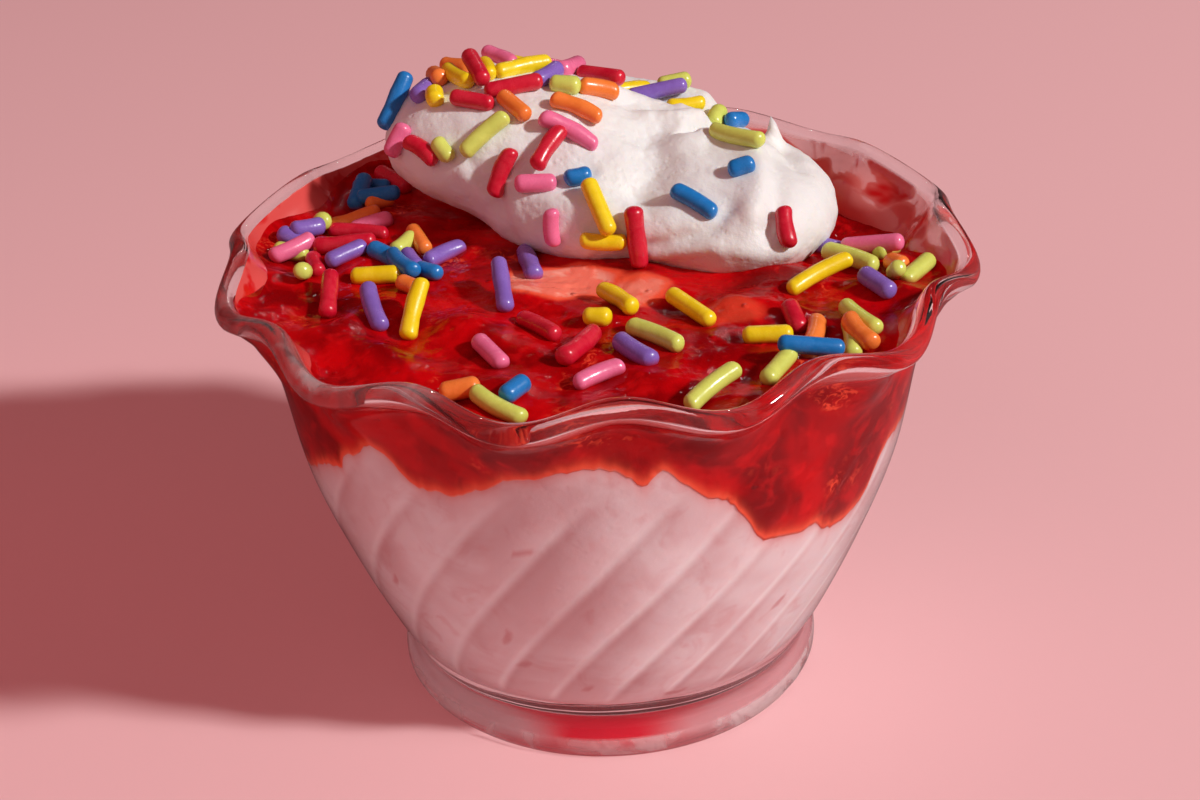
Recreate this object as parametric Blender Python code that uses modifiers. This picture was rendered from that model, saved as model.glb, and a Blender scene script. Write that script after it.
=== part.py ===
"""An ice cream sundae in a small pressed glass dish.

The dish has a wavy rim, slanting ribs inside its wall and a thick round foot. Strawberry ice
cream fills it. A thick strawberry sauce lies on the ice cream and runs down inside the glass,
and a dollop of whipped cream sits on the sauce. Sugar sprinkles lie on the sauce and the cream.

Lengths are in metres. The dish stands on Z = 0 with its axis on Z. Angles round the dish are
in degrees: they start at the front, which faces -Y, and grow towards +X.
"""
import math
import random

import bmesh
import bpy
from mathutils import Matrix, Vector
from mathutils.bvhtree import BVHTree

MM = 0.001

# Height from which places are looked for on a surface below
ABOVE = 100.0 * MM
DOWN = Vector((0, 0, -1))

# The dish
STEPS = 96
LOBES = 12
LOBE_TURN = 17.5
LOBE_REACH = 1.1 * MM
LOBE_DROP = 0.8 * MM
WAVE_FROM = 40.0 * MM
WAVE_FULL = 46.5 * MM
LIP_CENTRE = (38.1 * MM, 49.6 * MM)
LIP_RADIUS = 1.2 * MM
LIP_ARC = (135, 90, 30, -35)
FLOOR_FLAT = 14.0 * MM
FLOOR_HEIGHT = 5.8 * MM
# Height and radius of the outer wall, from the foot up
OUTER_WALL = (
    (0.0 * MM, 22.6 * MM),
    (0.7 * MM, 23.6 * MM),
    (4.6 * MM, 22.9 * MM),
    (10.0 * MM, 25.5 * MM),
    (19.0 * MM, 29.2 * MM),
    (29.0 * MM, 32.5 * MM),
    (40.0 * MM, 34.4 * MM),
    (46.0 * MM, 35.9 * MM),
)
# Height and radius of the inner wall, from the edge of the floor up
INNER_WALL = (
    (5.9 * MM, 16.0 * MM),
    (6.8 * MM, 20.0 * MM),
    (9.6 * MM, 22.9 * MM),
    (19.0 * MM, 27.0 * MM),
    (28.0 * MM, 30.2 * MM),
    (37.0 * MM, 32.1 * MM),
    (43.5 * MM, 33.2 * MM),
    (46.5 * MM, 34.5 * MM),
    (48.7 * MM, 36.4 * MM),
)
RIBS = 24
RIB_DEPTH = 0.25 * MM
RIB_SLANT = 1.0 / MM
RIB_BOTTOM = (7.0 * MM, 9.0 * MM)
RIB_TOP = (34.0 * MM, 40.0 * MM)

# Where two foods, or a food and the glass, lie face to face
GAP = 0.35 * MM
SEAT_GAP = 0.7 * MM

# The ice cream and the sauce. Their sections are drawn as shares of a unit: the radius counts
# shares of the wall's radius, and the height counts levels
UNIT = 10.0 * MM
SHELF = 0.9
FLOOR_SHARE = 0.75
SHOULDER = 1.0 * MM
SAUCE_LEAST = 1.6 * MM
SAUCE_LEVEL = 47.3 * MM
SAUCE_UNDER = 43.4 * MM
SAUCE_EDGE = 41.5 * MM
SAUCE_SKIN = 1.4 * MM
LUMP_HEIGHT = 0.22 * MM
LUMP_LENGTH = 13.0 * MM
WALL_ROWS = 5
RIM_LEVELS = (2.88, 2.72, 2.4, 2)
# The sauce is low at the back on the right: place, reach, depth and how fast it rises again
HOLLOW = (Vector((29 * MM, 13 * MM)), 15 * MM, 3.9 * MM)
HOLLOW_RISE = 2.2
# The sauce runs down inside the wall: angle, depth and half width
RUNS = (
    (-76, 9.5, 24),
    (-30, 3.6, 12),
    (6, 1.6, 4),
    (30, 9.5, 14),
    (47, 13.0, 15),
    (68, 7.5, 16),
    (104, 4.0, 20),
    (148, 7.5, 18),
    (192, 3.0, 16),
    (238, 8.0, 20),
)
RUN_BOW = 1.3

# The whipped cream: middles and half sizes of the soft lumps that it is made of
CREAM_HEART = Vector((3 * MM, 15.5 * MM, 51.5 * MM))
CREAM_LUMPS = (
    (Vector((-8.5, 17.0, 54.8)) * MM, Vector((14.5, 13.0, 8.3)) * MM),
    (Vector((-4.0, 11.0, 50.5)) * MM, Vector((11.0, 10.5, 5.6)) * MM),
    (Vector((4.5, 14.0, 50.0)) * MM, Vector((13.0, 14.5, 7.2)) * MM),
    (Vector((15.5, 10.0, 49.0)) * MM, Vector((11.3, 13.4, 6.6)) * MM),
    (Vector((1.0, 24.0, 51.0)) * MM, Vector((16.0, 9.0, 6.0)) * MM),
)
CREAM_BLEND = 3.0
CREAM_REACH = 40 * MM
CREAM_STEP = 0.5 * MM
CREAM_HALVINGS = 12
CREAM_FINENESS = 4
PEAK_AT = Vector((20.3, 14.0)) * MM
PEAK_RADII = (1.7 * MM, 0.25 * MM)
PEAK_HEIGHT = 4.5 * MM

# The sprinkles
SPRINKLE_RADIUS = 1.1 * MM
SPRINKLE_SIDES = 5
SPRINKLE_LENGTHS = (4.6 * MM, 6.4 * MM)
SPRINKLE_SINK = 0.35
LEAN_LIFT = 0.3
LENGTH_STRIDE = 0.618
WALL_ROOM = 0.9 * MM
# Sprinkles on the sauce by colour: across and back in mm, turn and lean in degrees
ON_SAUCE = {
    "lime": (
        (-32, 12.5, 30, 60), (-34.5, 5.5, 0, 0), (-30.7, -1.5, 100, 60), (-21, 5.5, 60, 40),
        (27, -3.8, 130, 0), (24.4, -20.5, 85, 0), (28.5, -15.5, 120, 0), (17.3, -28, 35, 0),
        (11, -30.3, 52, 0), (33, -7.5, 30, 0), (34.5, -1, 45, 30), (26.5, 19.5, 128, 0),
    ),
    "yellow": (
        (-22.8, -2.5, 0, 0), (-18, -13.5, 80, 40), (-9, -31, 168, 0), (2, -11, 125, 0), (-1, -14.6, 0, 0),
        (5.5, -18.8, 145, 0), (9.2, -13.8, 125, 0), (16.5, -20.3, 0, 0), (22.7, -7.5, 32, 0),
        (24.5, 24.5, 0, 0),
    ),
    "orange": (
        (-27.5, 13.5, 5, 0), (-18.2, 4.2, 125, 0), (-19, -5.2, 20, 0),
        (-13.5, -29, 0, 0), (21.3, -19.5, 72, 0), (27, -20.3, 120, 0), (31.5, -4, 70, 0),
    ),
    "crimson": (
        (-28.5, 8, 5, 0), (-25.5, 6.8, 0, 0), (-27.5, -5.5, 95, 15), (-6.3, -16, 130, 0),
        (-2, -20.3, 55, 0), (19.5, -15, 105, 0), (-23.5, 24, 130, 0),
    ),
    "pink": (
        (-24.5, 10, 8, 0), (-32, 5.5, 20, 0), (-10.3, -20.5, 125, 0), (0.3, -26.5, 15, 0),
        (32, -0.8, 0, 0),
    ),
    "purple": (
        (-33.5, 9, 10, 0), (-26.5, 2, 15, 0), (-16, 1, 35, 0),
        (-22.5, -10.5, 105, 20), (-9.3, -8, 100, 40), (-6.8, -1.8, 110, 30), (3.7, -22.6, 140, 0),
        (28.8, -9.5, 135, 0),
    ),
    "blue": (
        (-22, 1, 140, 0), (-17.7, -1.5, 20, 20), (-8, -27.6, 30, 40), (20.4, -24.5, 8, 0),
        (24, 27.5, 0, 0), (-26.5, 19, 80, 40), (-24, 17, 0, 0),
    ),
}
# Sprinkles on the cream by colour, as seen from the front and above: across and up from the
# cream's heart in mm, turn in degrees, and length in mm
ON_CREAM = {
    "blue": ((-24, 9, 60, 7), (-4.5, -1.5, 20, 3.2), (7.5, -5, 140, 5.5), (13, -1.5, 15, 3), (14, 5.5, 175, 3)),
    "purple": ((-21, 9, 115, 4), (-8, 11, 5, 4.6), (5, 9, 5, 7)),
    "orange": (
        (-19.5, 11.5, 85, 4), (-17, 13, 175, 4), (-2, 8.5, 175, 5), (-11, 6.5, 135, 5), (-4.5, 5.5, 150, 6.5),
    ),
    "yellow": (
        (-17.5, 10.5, 135, 5.5), (-9.5, 11.5, 5, 7), (-11, 13.5, 0, 5.5),
        (-2.5, -5, 100, 6.5), (-2, -8, 165, 5.5), (7.5, 8, 170, 5.5),
    ),
    "crimson": (
        (-15, 11, 120, 5.5), (-15.5, 8, 165, 6), (-11, 9, 5, 7), (-1.5, 10.5, 165, 6), (-21, 2, 140, 5),
        (-12, -0.5, 70, 5.5), (-7.5, 1, 50, 6), (2, -8, 90, 6.5), (17.5, -7, 85, 5),
    ),
    "pink": (
        (-13, 13, 145, 5), (-7.5, 13, 0, 4), (-5, 12, 50, 5.5), (-5.5, 3.5, 150, 9), (-23.5, 4, 55, 4.5),
        (-8.5, -2, 175, 5.5), (-7, -6.5, 90, 5),
    ),
    "lime": (
        (-6, 9, 10, 3.5), (-14, 3.5, 30, 6.5), (-18.5, 2.5, 135, 3.5), (13, 3, 155, 8), (11.5, 6, 170, 3.5),
    ),
}
VIEW_ELEVATION = 29.0
# More of them lie on the back of the cream: middle and half sizes of the patch
BACK_SPRINKLES = 8
BACK_PATCH = (Vector((1, 23)) * MM, Vector((17, 6)) * MM)
BACK_APART = 4.5 * MM
BACK_SEED = 7


def clear_scene():
    """Remove what the scene holds."""
    for obj in list(bpy.data.objects):
        bpy.data.objects.remove(obj)


def new_collection(name):
    """Make a collection in the scene."""
    collection = bpy.data.collections.new(name)
    bpy.context.scene.collection.children.link(collection)
    return collection


def new_object(name, mesh, collection, material=None):
    """Put a mesh in the scene as an object with one material."""
    obj = bpy.data.objects.new(name, mesh)
    collection.objects.link(obj)
    if material:
        mesh.materials.clear()
        mesh.materials.append(material)
    return obj


def principled(name, colour, roughness, transmission=0.0):
    """Make a plain material."""
    material = bpy.data.materials.new(name)
    material.use_nodes = True
    shader = material.node_tree.nodes["Principled BSDF"]
    shader.inputs["Base Color"].default_value = (*colour, 1.0)
    shader.inputs["Roughness"].default_value = roughness
    shader.inputs["Metallic"].default_value = 0.0
    shader.inputs["Transmission Weight"].default_value = transmission
    return material


def clear_glass():
    return principled("clear_glass", (0.95, 0.97, 0.98), 0.03, transmission=1.0)


def pink_ice_cream():
    return principled("pink_ice_cream", (0.82, 0.56, 0.54), 0.5)


def red_sauce():
    return principled("red_sauce", (0.55, 0.01, 0.02), 0.12)


def white_cream():
    return principled("white_cream", (0.90, 0.86, 0.80), 0.5)


def smooth_step(low, high, value):
    """Rise from 0 at low to 1 at high."""
    t = min(max((value - low) / (high - low), 0.0), 1.0)
    return t * t * (3.0 - 2.0 * t)


def along(points, value):
    """Read a smooth curve through points of (value, result) at one value."""
    if value <= points[0][0]:
        return points[0][1]
    if value >= points[-1][0]:
        return points[-1][1]
    i = next(k for k in range(1, len(points)) if value <= points[k][0]) - 1
    (x0, y0), (x1, y1) = points[i], points[i + 1]
    before = points[max(i - 1, 0)]
    after = points[min(i + 2, len(points) - 1)]
    slope0 = (y1 - before[1]) / (x1 - before[0])
    slope1 = (after[1] - y0) / (after[0] - x0)
    width = x1 - x0
    t = (value - x0) / width
    return (
        y0 * (1 + 2 * t) * (1 - t) ** 2
        + slope0 * width * t * (1 - t) ** 2
        + y1 * t * t * (3 - 2 * t)
        + slope1 * width * t * t * (t - 1)
    )


def angle_of(x, y):
    """Angle round the dish of a place, in degrees."""
    return math.degrees(math.atan2(x, -y))


def around(radius, angle, height):
    """Place at a radius, an angle round the dish and a height."""
    a = math.radians(angle)
    return Vector((radius * math.sin(a), -radius * math.cos(a), height))


def wave(angle, height):
    """How far the rim's lobes push out here, from -1 to 1."""
    share = smooth_step(WAVE_FROM, WAVE_FULL, height)
    return share * math.cos(math.radians(LOBES * (angle - LOBE_TURN)))


def rib(angle, height):
    """How far the slanting ribs stand in from the inner wall here, from 0 to 1."""
    turned = angle - RIB_SLANT * (height - RIB_BOTTOM[1])
    share = smooth_step(*RIB_BOTTOM, height) * (1.0 - smooth_step(*RIB_TOP, height))
    return share * (0.5 + 0.5 * math.cos(math.radians(RIBS * turned)))


def inner_radius(angle, height):
    """Radius of the glass's inner face, with its ribs and lobes."""
    w = wave(angle, height)
    radius = along(INNER_WALL, height + LOBE_DROP * w)
    return radius + LOBE_REACH * w - RIB_DEPTH * rib(angle, height)


def bake(obj):
    """Give an object the mesh that its modifiers make."""
    graph = bpy.context.evaluated_depsgraph_get()
    mesh = bpy.data.meshes.new_from_object(obj.evaluated_get(graph))
    old = obj.data
    obj.modifiers.clear()
    obj.data = mesh
    bpy.data.meshes.remove(old)


def turned(name, profile, collection, material):
    """Turn a profile of (radius, height) points about Z into a solid's mesh."""
    mesh = bpy.data.meshes.new(name)
    points = [(radius, 0.0, height) for radius, height in profile]
    edges = [(i, i + 1) for i in range(len(points) - 1)]
    mesh.from_pydata(points, edges, [])
    obj = new_object(name, mesh, collection, material)
    screw = obj.modifiers.new("turn", "SCREW")
    screw.axis = "Z"
    screw.angle = math.tau
    screw.steps = STEPS
    screw.render_steps = STEPS
    screw.use_merge_vertices = True
    screw.merge_threshold = 0.00001
    bake(obj)
    return obj


def move_points(obj, rule):
    """Move each point to where a rule of (radius, angle, height) puts it."""
    for point in obj.data.vertices:
        x, y, z = point.co
        point.co = rule(math.hypot(x, y), angle_of(x, y), z)
    obj.data.update()


def smooth_shade(obj, sharp_angle=50):
    """Shade an object smooth, apart from its sharp edges."""
    obj.data.shade_smooth()
    obj.data.set_sharp_from_angle(angle=math.radians(sharp_angle))


def glass_profile():
    """Section of the dish, up the inner wall, over the lip and down the outer wall."""
    inner = [(radius, height) for height, radius in INNER_WALL]
    lip = []
    for turn in LIP_ARC:
        a = math.radians(turn)
        lip.append((LIP_CENTRE[0] + LIP_RADIUS * math.cos(a), LIP_CENTRE[1] + LIP_RADIUS * math.sin(a)))
    outer = [(radius, height) for height, radius in reversed(OUTER_WALL)]
    return [(0.0, FLOOR_HEIGHT)] + inner + lip + outer + [(0.0, 0.0)]


def glass_dish(collection):
    """The dish: a turned wall whose rim is pushed into lobes, with ribs inside."""
    obj = turned("glass_dish", glass_profile(), collection, clear_glass())

    def rule(radius, angle, height):
        middle = 0.5 * (along(INNER_WALL, height) + along(OUTER_WALL, height))
        inside = radius < middle and height > FLOOR_HEIGHT
        w = wave(angle, height)
        stand_in = RIB_DEPTH * rib(angle, height) if inside else 0.0
        return around(radius + LOBE_REACH * w - stand_in, angle, height - LOBE_DROP * w)

    move_points(obj, rule)
    smooth_shade(obj)
    return obj


def sauce_edge(angle):
    """Height down to which the sauce has run inside the wall."""
    drop = 0.0
    for at, depth, half_width in RUNS:
        away = abs((angle - at + 180) % 360 - 180) / half_width
        if away < 1.0:
            drop = max(drop, depth * MM * (1.0 - away * away) ** RUN_BOW)
    return SAUCE_EDGE - drop


def sauce_top(x, y):
    """Height of the sauce's upper face."""
    place, reach, depth = HOLLOW
    away = (Vector((x, y)) - place).length / reach
    low = depth * math.exp(-HOLLOW_RISE * away * away)
    a, b = x / LUMP_LENGTH * math.tau, y / LUMP_LENGTH * math.tau
    lumps = math.sin(a + 1.3 * math.sin(b * 0.7)) + math.sin(b * 1.2 + 0.8 * a + 2.0)
    return SAUCE_LEVEL - low + LUMP_HEIGHT * lumps


def sauce_rim(angle):
    """Radius at which the sauce's upper face meets the glass."""
    radius = inner_radius(angle, SAUCE_LEVEL) - GAP
    for _ in range(4):
        place = around(radius, angle, 0)
        radius = inner_radius(angle, sauce_top(place.x, place.y)) - GAP
    return radius


def layer_top(x, y):
    """Height of the ice cream's upper face, under the sauce."""
    return min(SAUCE_UNDER, sauce_top(x, y) - SAUCE_LEAST)


def mix(a, b, share):
    """Go from a to b by a share."""
    return a + (b - a) * share


def ice_cream(collection):
    """The filling, up to a shoulder that the sauce runs over.

    Level 0 is the floor, 2 the sauce's edge and 3 the upper face.
    """
    shares = [(0, 3), (SHELF, 3), (SHELF, 2)]
    shares += [(1, 2 - 2 * k / WALL_ROWS) for k in range(WALL_ROWS + 1)]
    shares += [(FLOOR_SHARE, 0), (0, 0)]
    profile = [(u * UNIT, v * UNIT) for u, v in shares]
    obj = turned("ice_cream", profile, collection, pink_ice_cream())
    floor = FLOOR_HEIGHT + GAP
    step_in = SAUCE_SKIN + 3 * GAP

    def rule(radius, angle, height):
        share, level = radius / UNIT, height / UNIT
        edge = sauce_edge(angle) - GAP
        if share > 0.5 * (1 + SHELF):
            z = mix(floor + GAP, edge, level / 2)
            return around(inner_radius(angle, z - GAP) - GAP, angle, z)
        if level < 0.5:
            return around(share * FLOOR_FLAT / FLOOR_SHARE, angle, floor)
        if level < 2.5:
            return around(inner_radius(angle, edge) - step_in, angle, edge)
        rim = inner_radius(angle, SAUCE_UNDER) - step_in - SHOULDER
        place = around(rim * share / SHELF, angle, 0)
        return Vector((place.x, place.y, layer_top(place.x, place.y) - GAP))

    move_points(obj, rule)
    smooth_shade(obj)
    return obj


def strawberry_sauce(collection):
    """The sauce: a thick cap that runs down inside the wall.

    Level 3 is the upper face, 2 the lower edge at the wall and 1 the under face.
    """
    shares = [(0, 3), (0.4, 3), (0.74, 3), (1, 3)]
    shares += [(1, level) for level in RIM_LEVELS]
    shares += [(SHELF, 2), (SHELF, 1), (0, 1)]
    profile = [(u * UNIT, v * UNIT) for u, v in shares]
    obj = turned("strawberry_sauce", profile, collection, red_sauce())

    def rule(radius, angle, height):
        share, level = radius / UNIT, height / UNIT
        edge = sauce_edge(angle)
        rim = sauce_rim(angle)
        if level > 2.95:
            place = around(rim * share, angle, 0)
            return Vector((place.x, place.y, sauce_top(place.x, place.y)))
        if share > 0.99:
            top = around(rim, angle, 0)
            z = mix(edge, sauce_top(top.x, top.y), level - 2)
            return around(inner_radius(angle, z) - GAP, angle, z)
        if level > 1.5:
            return around(inner_radius(angle, edge) - GAP - SAUCE_SKIN, angle, edge)
        rim = inner_radius(angle, SAUCE_UNDER) - GAP - SAUCE_SKIN - SHOULDER
        place = around(rim * share / SHELF, angle, 0)
        return Vector((place.x, place.y, layer_top(place.x, place.y)))

    move_points(obj, rule)
    return obj


def surface_tree(obj):
    """Make a search tree of an object's faces."""
    graph = bpy.context.evaluated_depsgraph_get()
    return BVHTree.FromObject(obj, graph)


def cream_field(place):
    """Over 1 inside the cream and under 1 outside it."""
    total = 0.0
    for middle, half in CREAM_LUMPS:
        q = place - middle
        squares = (q.x / half.x) ** 2 + (q.y / half.y) ** 2 + (q.z / half.z) ** 2
        total += math.exp(CREAM_BLEND * (1.0 - squares))
    return total


def cream_radius(direction):
    """Distance from the cream's heart to its surface along a direction."""
    outer = CREAM_REACH
    while cream_field(CREAM_HEART + direction * outer) < 1.0:
        outer -= CREAM_STEP
    low, high = outer, outer + CREAM_STEP
    for _ in range(CREAM_HALVINGS):
        middle = 0.5 * (low + high)
        if cream_field(CREAM_HEART + direction * middle) < 1.0:
            high = middle
        else:
            low = middle
    return low


def whipped_cream(collection, sauce):
    """The dollop: a ball pushed out to soft lumps, with a flat seat on the sauce."""
    mesh = bpy.data.meshes.new("whipped_cream")
    bm = bmesh.new()
    bmesh.ops.create_icosphere(bm, subdivisions=CREAM_FINENESS, radius=1.0)
    tree = surface_tree(sauce)
    for point in bm.verts:
        direction = point.co.normalized()
        place = CREAM_HEART + direction * cream_radius(direction)
        hit = tree.ray_cast(Vector((place.x, place.y, ABOVE)), DOWN)[0]
        place.z = max(place.z, hit.z + SEAT_GAP)
        point.co = place
    bm.to_mesh(mesh)
    bm.free()
    obj = new_object("whipped_cream", mesh, collection, white_cream())
    return obj


def cream_peak(collection, cream):
    """The small peak that the spoon left on the right."""
    hit = surface_tree(cream).ray_cast(Vector((*PEAK_AT, ABOVE)), DOWN)[0]
    mesh = bpy.data.meshes.new("peak")
    bm = bmesh.new()
    base, tip = PEAK_RADII
    matrix = Matrix.Translation(hit + Vector((0, 0, PEAK_HEIGHT / 4)))
    bmesh.ops.create_cone(
        bm, cap_ends=True, segments=8, radius1=base, radius2=tip, depth=PEAK_HEIGHT, matrix=matrix
    )
    bm.to_mesh(mesh)
    bm.free()
    return new_object("peak", mesh, collection)


def sprinkle_mesh(length):
    """A sugar strand with round ends, along X."""
    mesh = bpy.data.meshes.new("sprinkle")
    bm = bmesh.new()
    bmesh.ops.create_uvsphere(bm, u_segments=SPRINKLE_SIDES, v_segments=3, radius=SPRINKLE_RADIUS)
    widen = 1.0 / math.sin(math.radians(60))
    for point in bm.verts:
        shift = math.copysign(0.5 * length - SPRINKLE_RADIUS, point.co.z)
        point.co = Vector((point.co.z + shift, point.co.x * widen, point.co.y * widen))
    bmesh.ops.recalc_face_normals(bm, faces=bm.faces)
    bm.to_mesh(mesh)
    bm.free()
    return mesh


def lay_sprinkle(collection, place, normal, heading, lean, length, lift=0.0):
    """Lay a sprinkle on a surface, sunk in a little, with its length along a heading."""
    along_x = (heading - normal * heading.dot(normal)).normalized()
    across = normal.cross(along_x)
    turn = Matrix((along_x, across, normal)).transposed().to_4x4()
    tip_up = Matrix.Rotation(-math.radians(lean), 4, "Y")
    height = SPRINKLE_RADIUS * (1 - SPRINKLE_SINK) + lift
    height += LEAN_LIFT * length * math.sin(math.radians(lean))
    obj = new_object("sprinkle", sprinkle_mesh(length), collection)
    obj.matrix_world = Matrix.Translation(place + normal * height) @ turn @ tip_up
    return obj


def sprinkle_length(index):
    """Lengths that differ from one sprinkle to the next."""
    short, long = SPRINKLE_LENGTHS
    return mix(short, long, (index * LENGTH_STRIDE) % 1.0)


def inside_wall(x, y, heading, length):
    """Pull a sprinkle's place in until its ends are clear of the glass."""
    place = Vector((x, y, 0))
    outward = place.normalized()
    reach = SPRINKLE_RADIUS + abs(heading.dot(outward)) * (0.5 * length - SPRINKLE_RADIUS)
    limit = inner_radius(angle_of(x, y), sauce_top(x, y)) - WALL_ROOM - reach
    return outward * min(place.length, limit)


def sprinkles_on_sauce(collection, sauce):
    """Lay the sprinkles on the sauce."""
    tree = surface_tree(sauce)
    spots = [spot for colour in ON_SAUCE.values() for spot in colour]
    for index, (across, back, turn, lean) in enumerate(spots):
        a = math.radians(turn)
        heading = Vector((math.cos(a), math.sin(a), 0))
        length = sprinkle_length(index)
        place = inside_wall(across * MM, back * MM, heading, length)
        place, normal = tree.ray_cast(Vector((place.x, place.y, ABOVE)), DOWN)[:2]
        lay_sprinkle(collection, place, normal, heading, lean, length)


def back_spots():
    """Draw the spots on the back of the cream: across and back, and turn."""
    draw = random.Random(BACK_SEED)
    middle, half = BACK_PATCH
    spots = []
    while len(spots) < BACK_SPRINKLES:
        x = middle.x + draw.uniform(-1, 1) * half.x
        y = middle.y + draw.uniform(-1, 1) * half.y
        turn = draw.uniform(0, math.pi)
        if all((Vector((x, y)) - other).length > BACK_APART for other, _ in spots):
            spots.append((Vector((x, y)), turn))
    return spots


def sprinkles_on_cream(collection, cream):
    """Lay the sprinkles on the cream, those that the front shows and those behind."""
    tree = surface_tree(cream)
    e = math.radians(VIEW_ELEVATION)
    sight = Vector((0, math.cos(e), -math.sin(e)))
    rise = Vector((0, math.sin(e), math.cos(e)))
    for spot in [spot for colour in ON_CREAM.values() for spot in colour]:
        across, up, turn, length = spot
        up = up * MM - SPRINKLE_RADIUS * (1 - SPRINKLE_SINK)
        start = CREAM_HEART + Vector((across * MM, 0, 0)) + rise * up - sight * ABOVE
        place, normal = tree.ray_cast(start, sight)[:2]
        if place is None:
            continue
        a = math.radians(turn)
        heading = Vector((math.cos(a), 0, 0)) + rise * math.sin(a)
        lay_sprinkle(collection, place, normal, heading, 0, length * MM)
    for index, (spot, turn) in enumerate(back_spots()):
        place, normal = tree.ray_cast(Vector((*spot, ABOVE)), DOWN)[:2]
        heading = Vector((math.cos(turn), math.sin(turn), 0))
        lay_sprinkle(collection, place, normal, heading, 0, sprinkle_length(index))


def keep_main_body(obj):
    """Keep the largest closed shell, which drops scraps and fills sealed hollows."""
    bm = bmesh.new()
    bm.from_mesh(obj.data)
    left = set(bm.verts)
    shells = []
    while left:
        shell = {left.pop()}
        front = list(shell)
        while front:
            point = front.pop()
            for edge in point.link_edges:
                other = edge.other_vert(point)
                if other not in shell:
                    shell.add(other)
                    front.append(other)
        left -= shell
        shells.append(shell)
    shells.sort(key=len)
    for shell in shells[:-1]:
        bmesh.ops.delete(bm, geom=list(shell), context="VERTS")
    bm.to_mesh(obj.data)
    bm.free()


def fuse(obj, pieces):
    """Join all pieces of a collection to an object by one union, and remove them."""
    union = obj.modifiers.new("fuse", "BOOLEAN")
    union.operation = "UNION"
    union.operand_type = "COLLECTION"
    union.collection = pieces
    union.solver = "EXACT"
    bake(obj)
    for piece in list(pieces.objects):
        bpy.data.objects.remove(piece)
    bpy.data.collections.remove(pieces)
    keep_main_body(obj)
    smooth_shade(obj)


def main():
    """Build the sundae from the dish up."""
    clear_scene()
    sundae = new_collection("ice_cream_sundae")
    glass_dish(sundae)
    ice_cream(sundae)
    sauce = strawberry_sauce(sundae)
    cream = whipped_cream(sundae, sauce)
    on_sauce = new_collection("on_sauce")
    sprinkles_on_sauce(on_sauce, sauce)
    on_cream = new_collection("on_cream")
    sprinkles_on_cream(on_cream, cream)
    cream_peak(on_cream, cream)
    fuse(sauce, on_sauce)
    fuse(cream, on_cream)


main()
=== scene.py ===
"""An ice cream sundae in a small pressed glass dish, with its looks.

The dish has a wavy rim and slanting ribs inside its wall. Pink ice cream fills it, a thick
strawberry sauce lies on the ice cream and runs down inside the glass, and a dollop of whipped
cream sits on the sauce. Sugar sprinkles lie on the sauce and the cream.

Lengths are in metres. The dish stands on Z = 0 with its axis on Z. Angles round the dish are
in degrees: they start at the front, which faces -Y, and grow towards +X.
"""
import logging
import math
import random
from dataclasses import dataclass
from enum import Enum
from typing import ClassVar, Optional, Sequence

import bmesh
import bpy
import numpy as np
from mathutils import Matrix, Vector, noise
from mathutils.bvhtree import BVHTree


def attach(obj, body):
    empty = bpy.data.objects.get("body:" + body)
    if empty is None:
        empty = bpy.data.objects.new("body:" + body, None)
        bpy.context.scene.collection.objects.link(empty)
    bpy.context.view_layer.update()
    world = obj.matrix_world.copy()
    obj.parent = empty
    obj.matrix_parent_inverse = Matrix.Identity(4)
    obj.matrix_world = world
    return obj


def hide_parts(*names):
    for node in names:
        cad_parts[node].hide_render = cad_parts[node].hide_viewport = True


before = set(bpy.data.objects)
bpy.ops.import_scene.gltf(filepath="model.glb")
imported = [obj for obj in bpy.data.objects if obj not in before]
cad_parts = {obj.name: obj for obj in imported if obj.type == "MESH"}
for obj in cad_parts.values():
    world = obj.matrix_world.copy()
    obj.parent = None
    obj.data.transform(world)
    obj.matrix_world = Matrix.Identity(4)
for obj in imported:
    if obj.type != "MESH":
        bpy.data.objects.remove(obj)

MM = 0.001
DOWN = Vector((0.0, 0.0, -1.0))
LOG = logging.getLogger("sundae")

Rgb = tuple[float, float, float]
Points = Sequence[tuple[float, float]]


def smooth_step(low: float, high: float, value: float) -> float:
    """Rise from 0 at low to 1 at high."""
    t = min(max((value - low) / (high - low), 0.0), 1.0)
    return t * t * (3.0 - 2.0 * t)


def mix(a: float, b: float, share: float) -> float:
    """Go from a to b by a share."""
    return a + (b - a) * share


def along(points: Points, value: float) -> float:
    """Read a smooth curve through points.

    Args:
        points: Pairs of (value, result), with rising values.
        value: Where to read the curve.

    Returns:
        The result at that value, held at the ends.
    """
    if value <= points[0][0]:
        return points[0][1]
    if value >= points[-1][0]:
        return points[-1][1]
    i = next(k for k in range(1, len(points)) if value <= points[k][0]) - 1
    (x0, y0), (x1, y1) = points[i], points[i + 1]
    before = points[max(i - 1, 0)]
    after = points[min(i + 2, len(points) - 1)]
    slope0 = (y1 - before[1]) / (x1 - before[0])
    slope1 = (after[1] - y0) / (after[0] - x0)
    width = x1 - x0
    t = (value - x0) / width
    return (
        y0 * (1 + 2 * t) * (1 - t) ** 2
        + slope0 * width * t * (1 - t) ** 2
        + y1 * t * t * (3 - 2 * t)
        + slope1 * width * t * t * (t - 1)
    )


def angle_of(x: float, y: float) -> float:
    """Angle round the dish of a place, in degrees."""
    return math.degrees(math.atan2(x, -y))


def around(radius: float, angle: float, height: float) -> Vector:
    """Place at a radius, an angle round the dish and a height."""
    a = math.radians(angle)
    return Vector((radius * math.sin(a), -radius * math.cos(a), height))


def apart(a: float, b: float) -> float:
    """Degrees between two angles round the dish."""
    return abs((a - b + 180.0) % 360.0 - 180.0)


def near(angle: float, middle: float, width: float) -> float:
    """1 near an angle round the dish, fading to 0 past a width on both sides."""
    return math.exp(-((apart(angle, middle) / width) ** 4))


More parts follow.
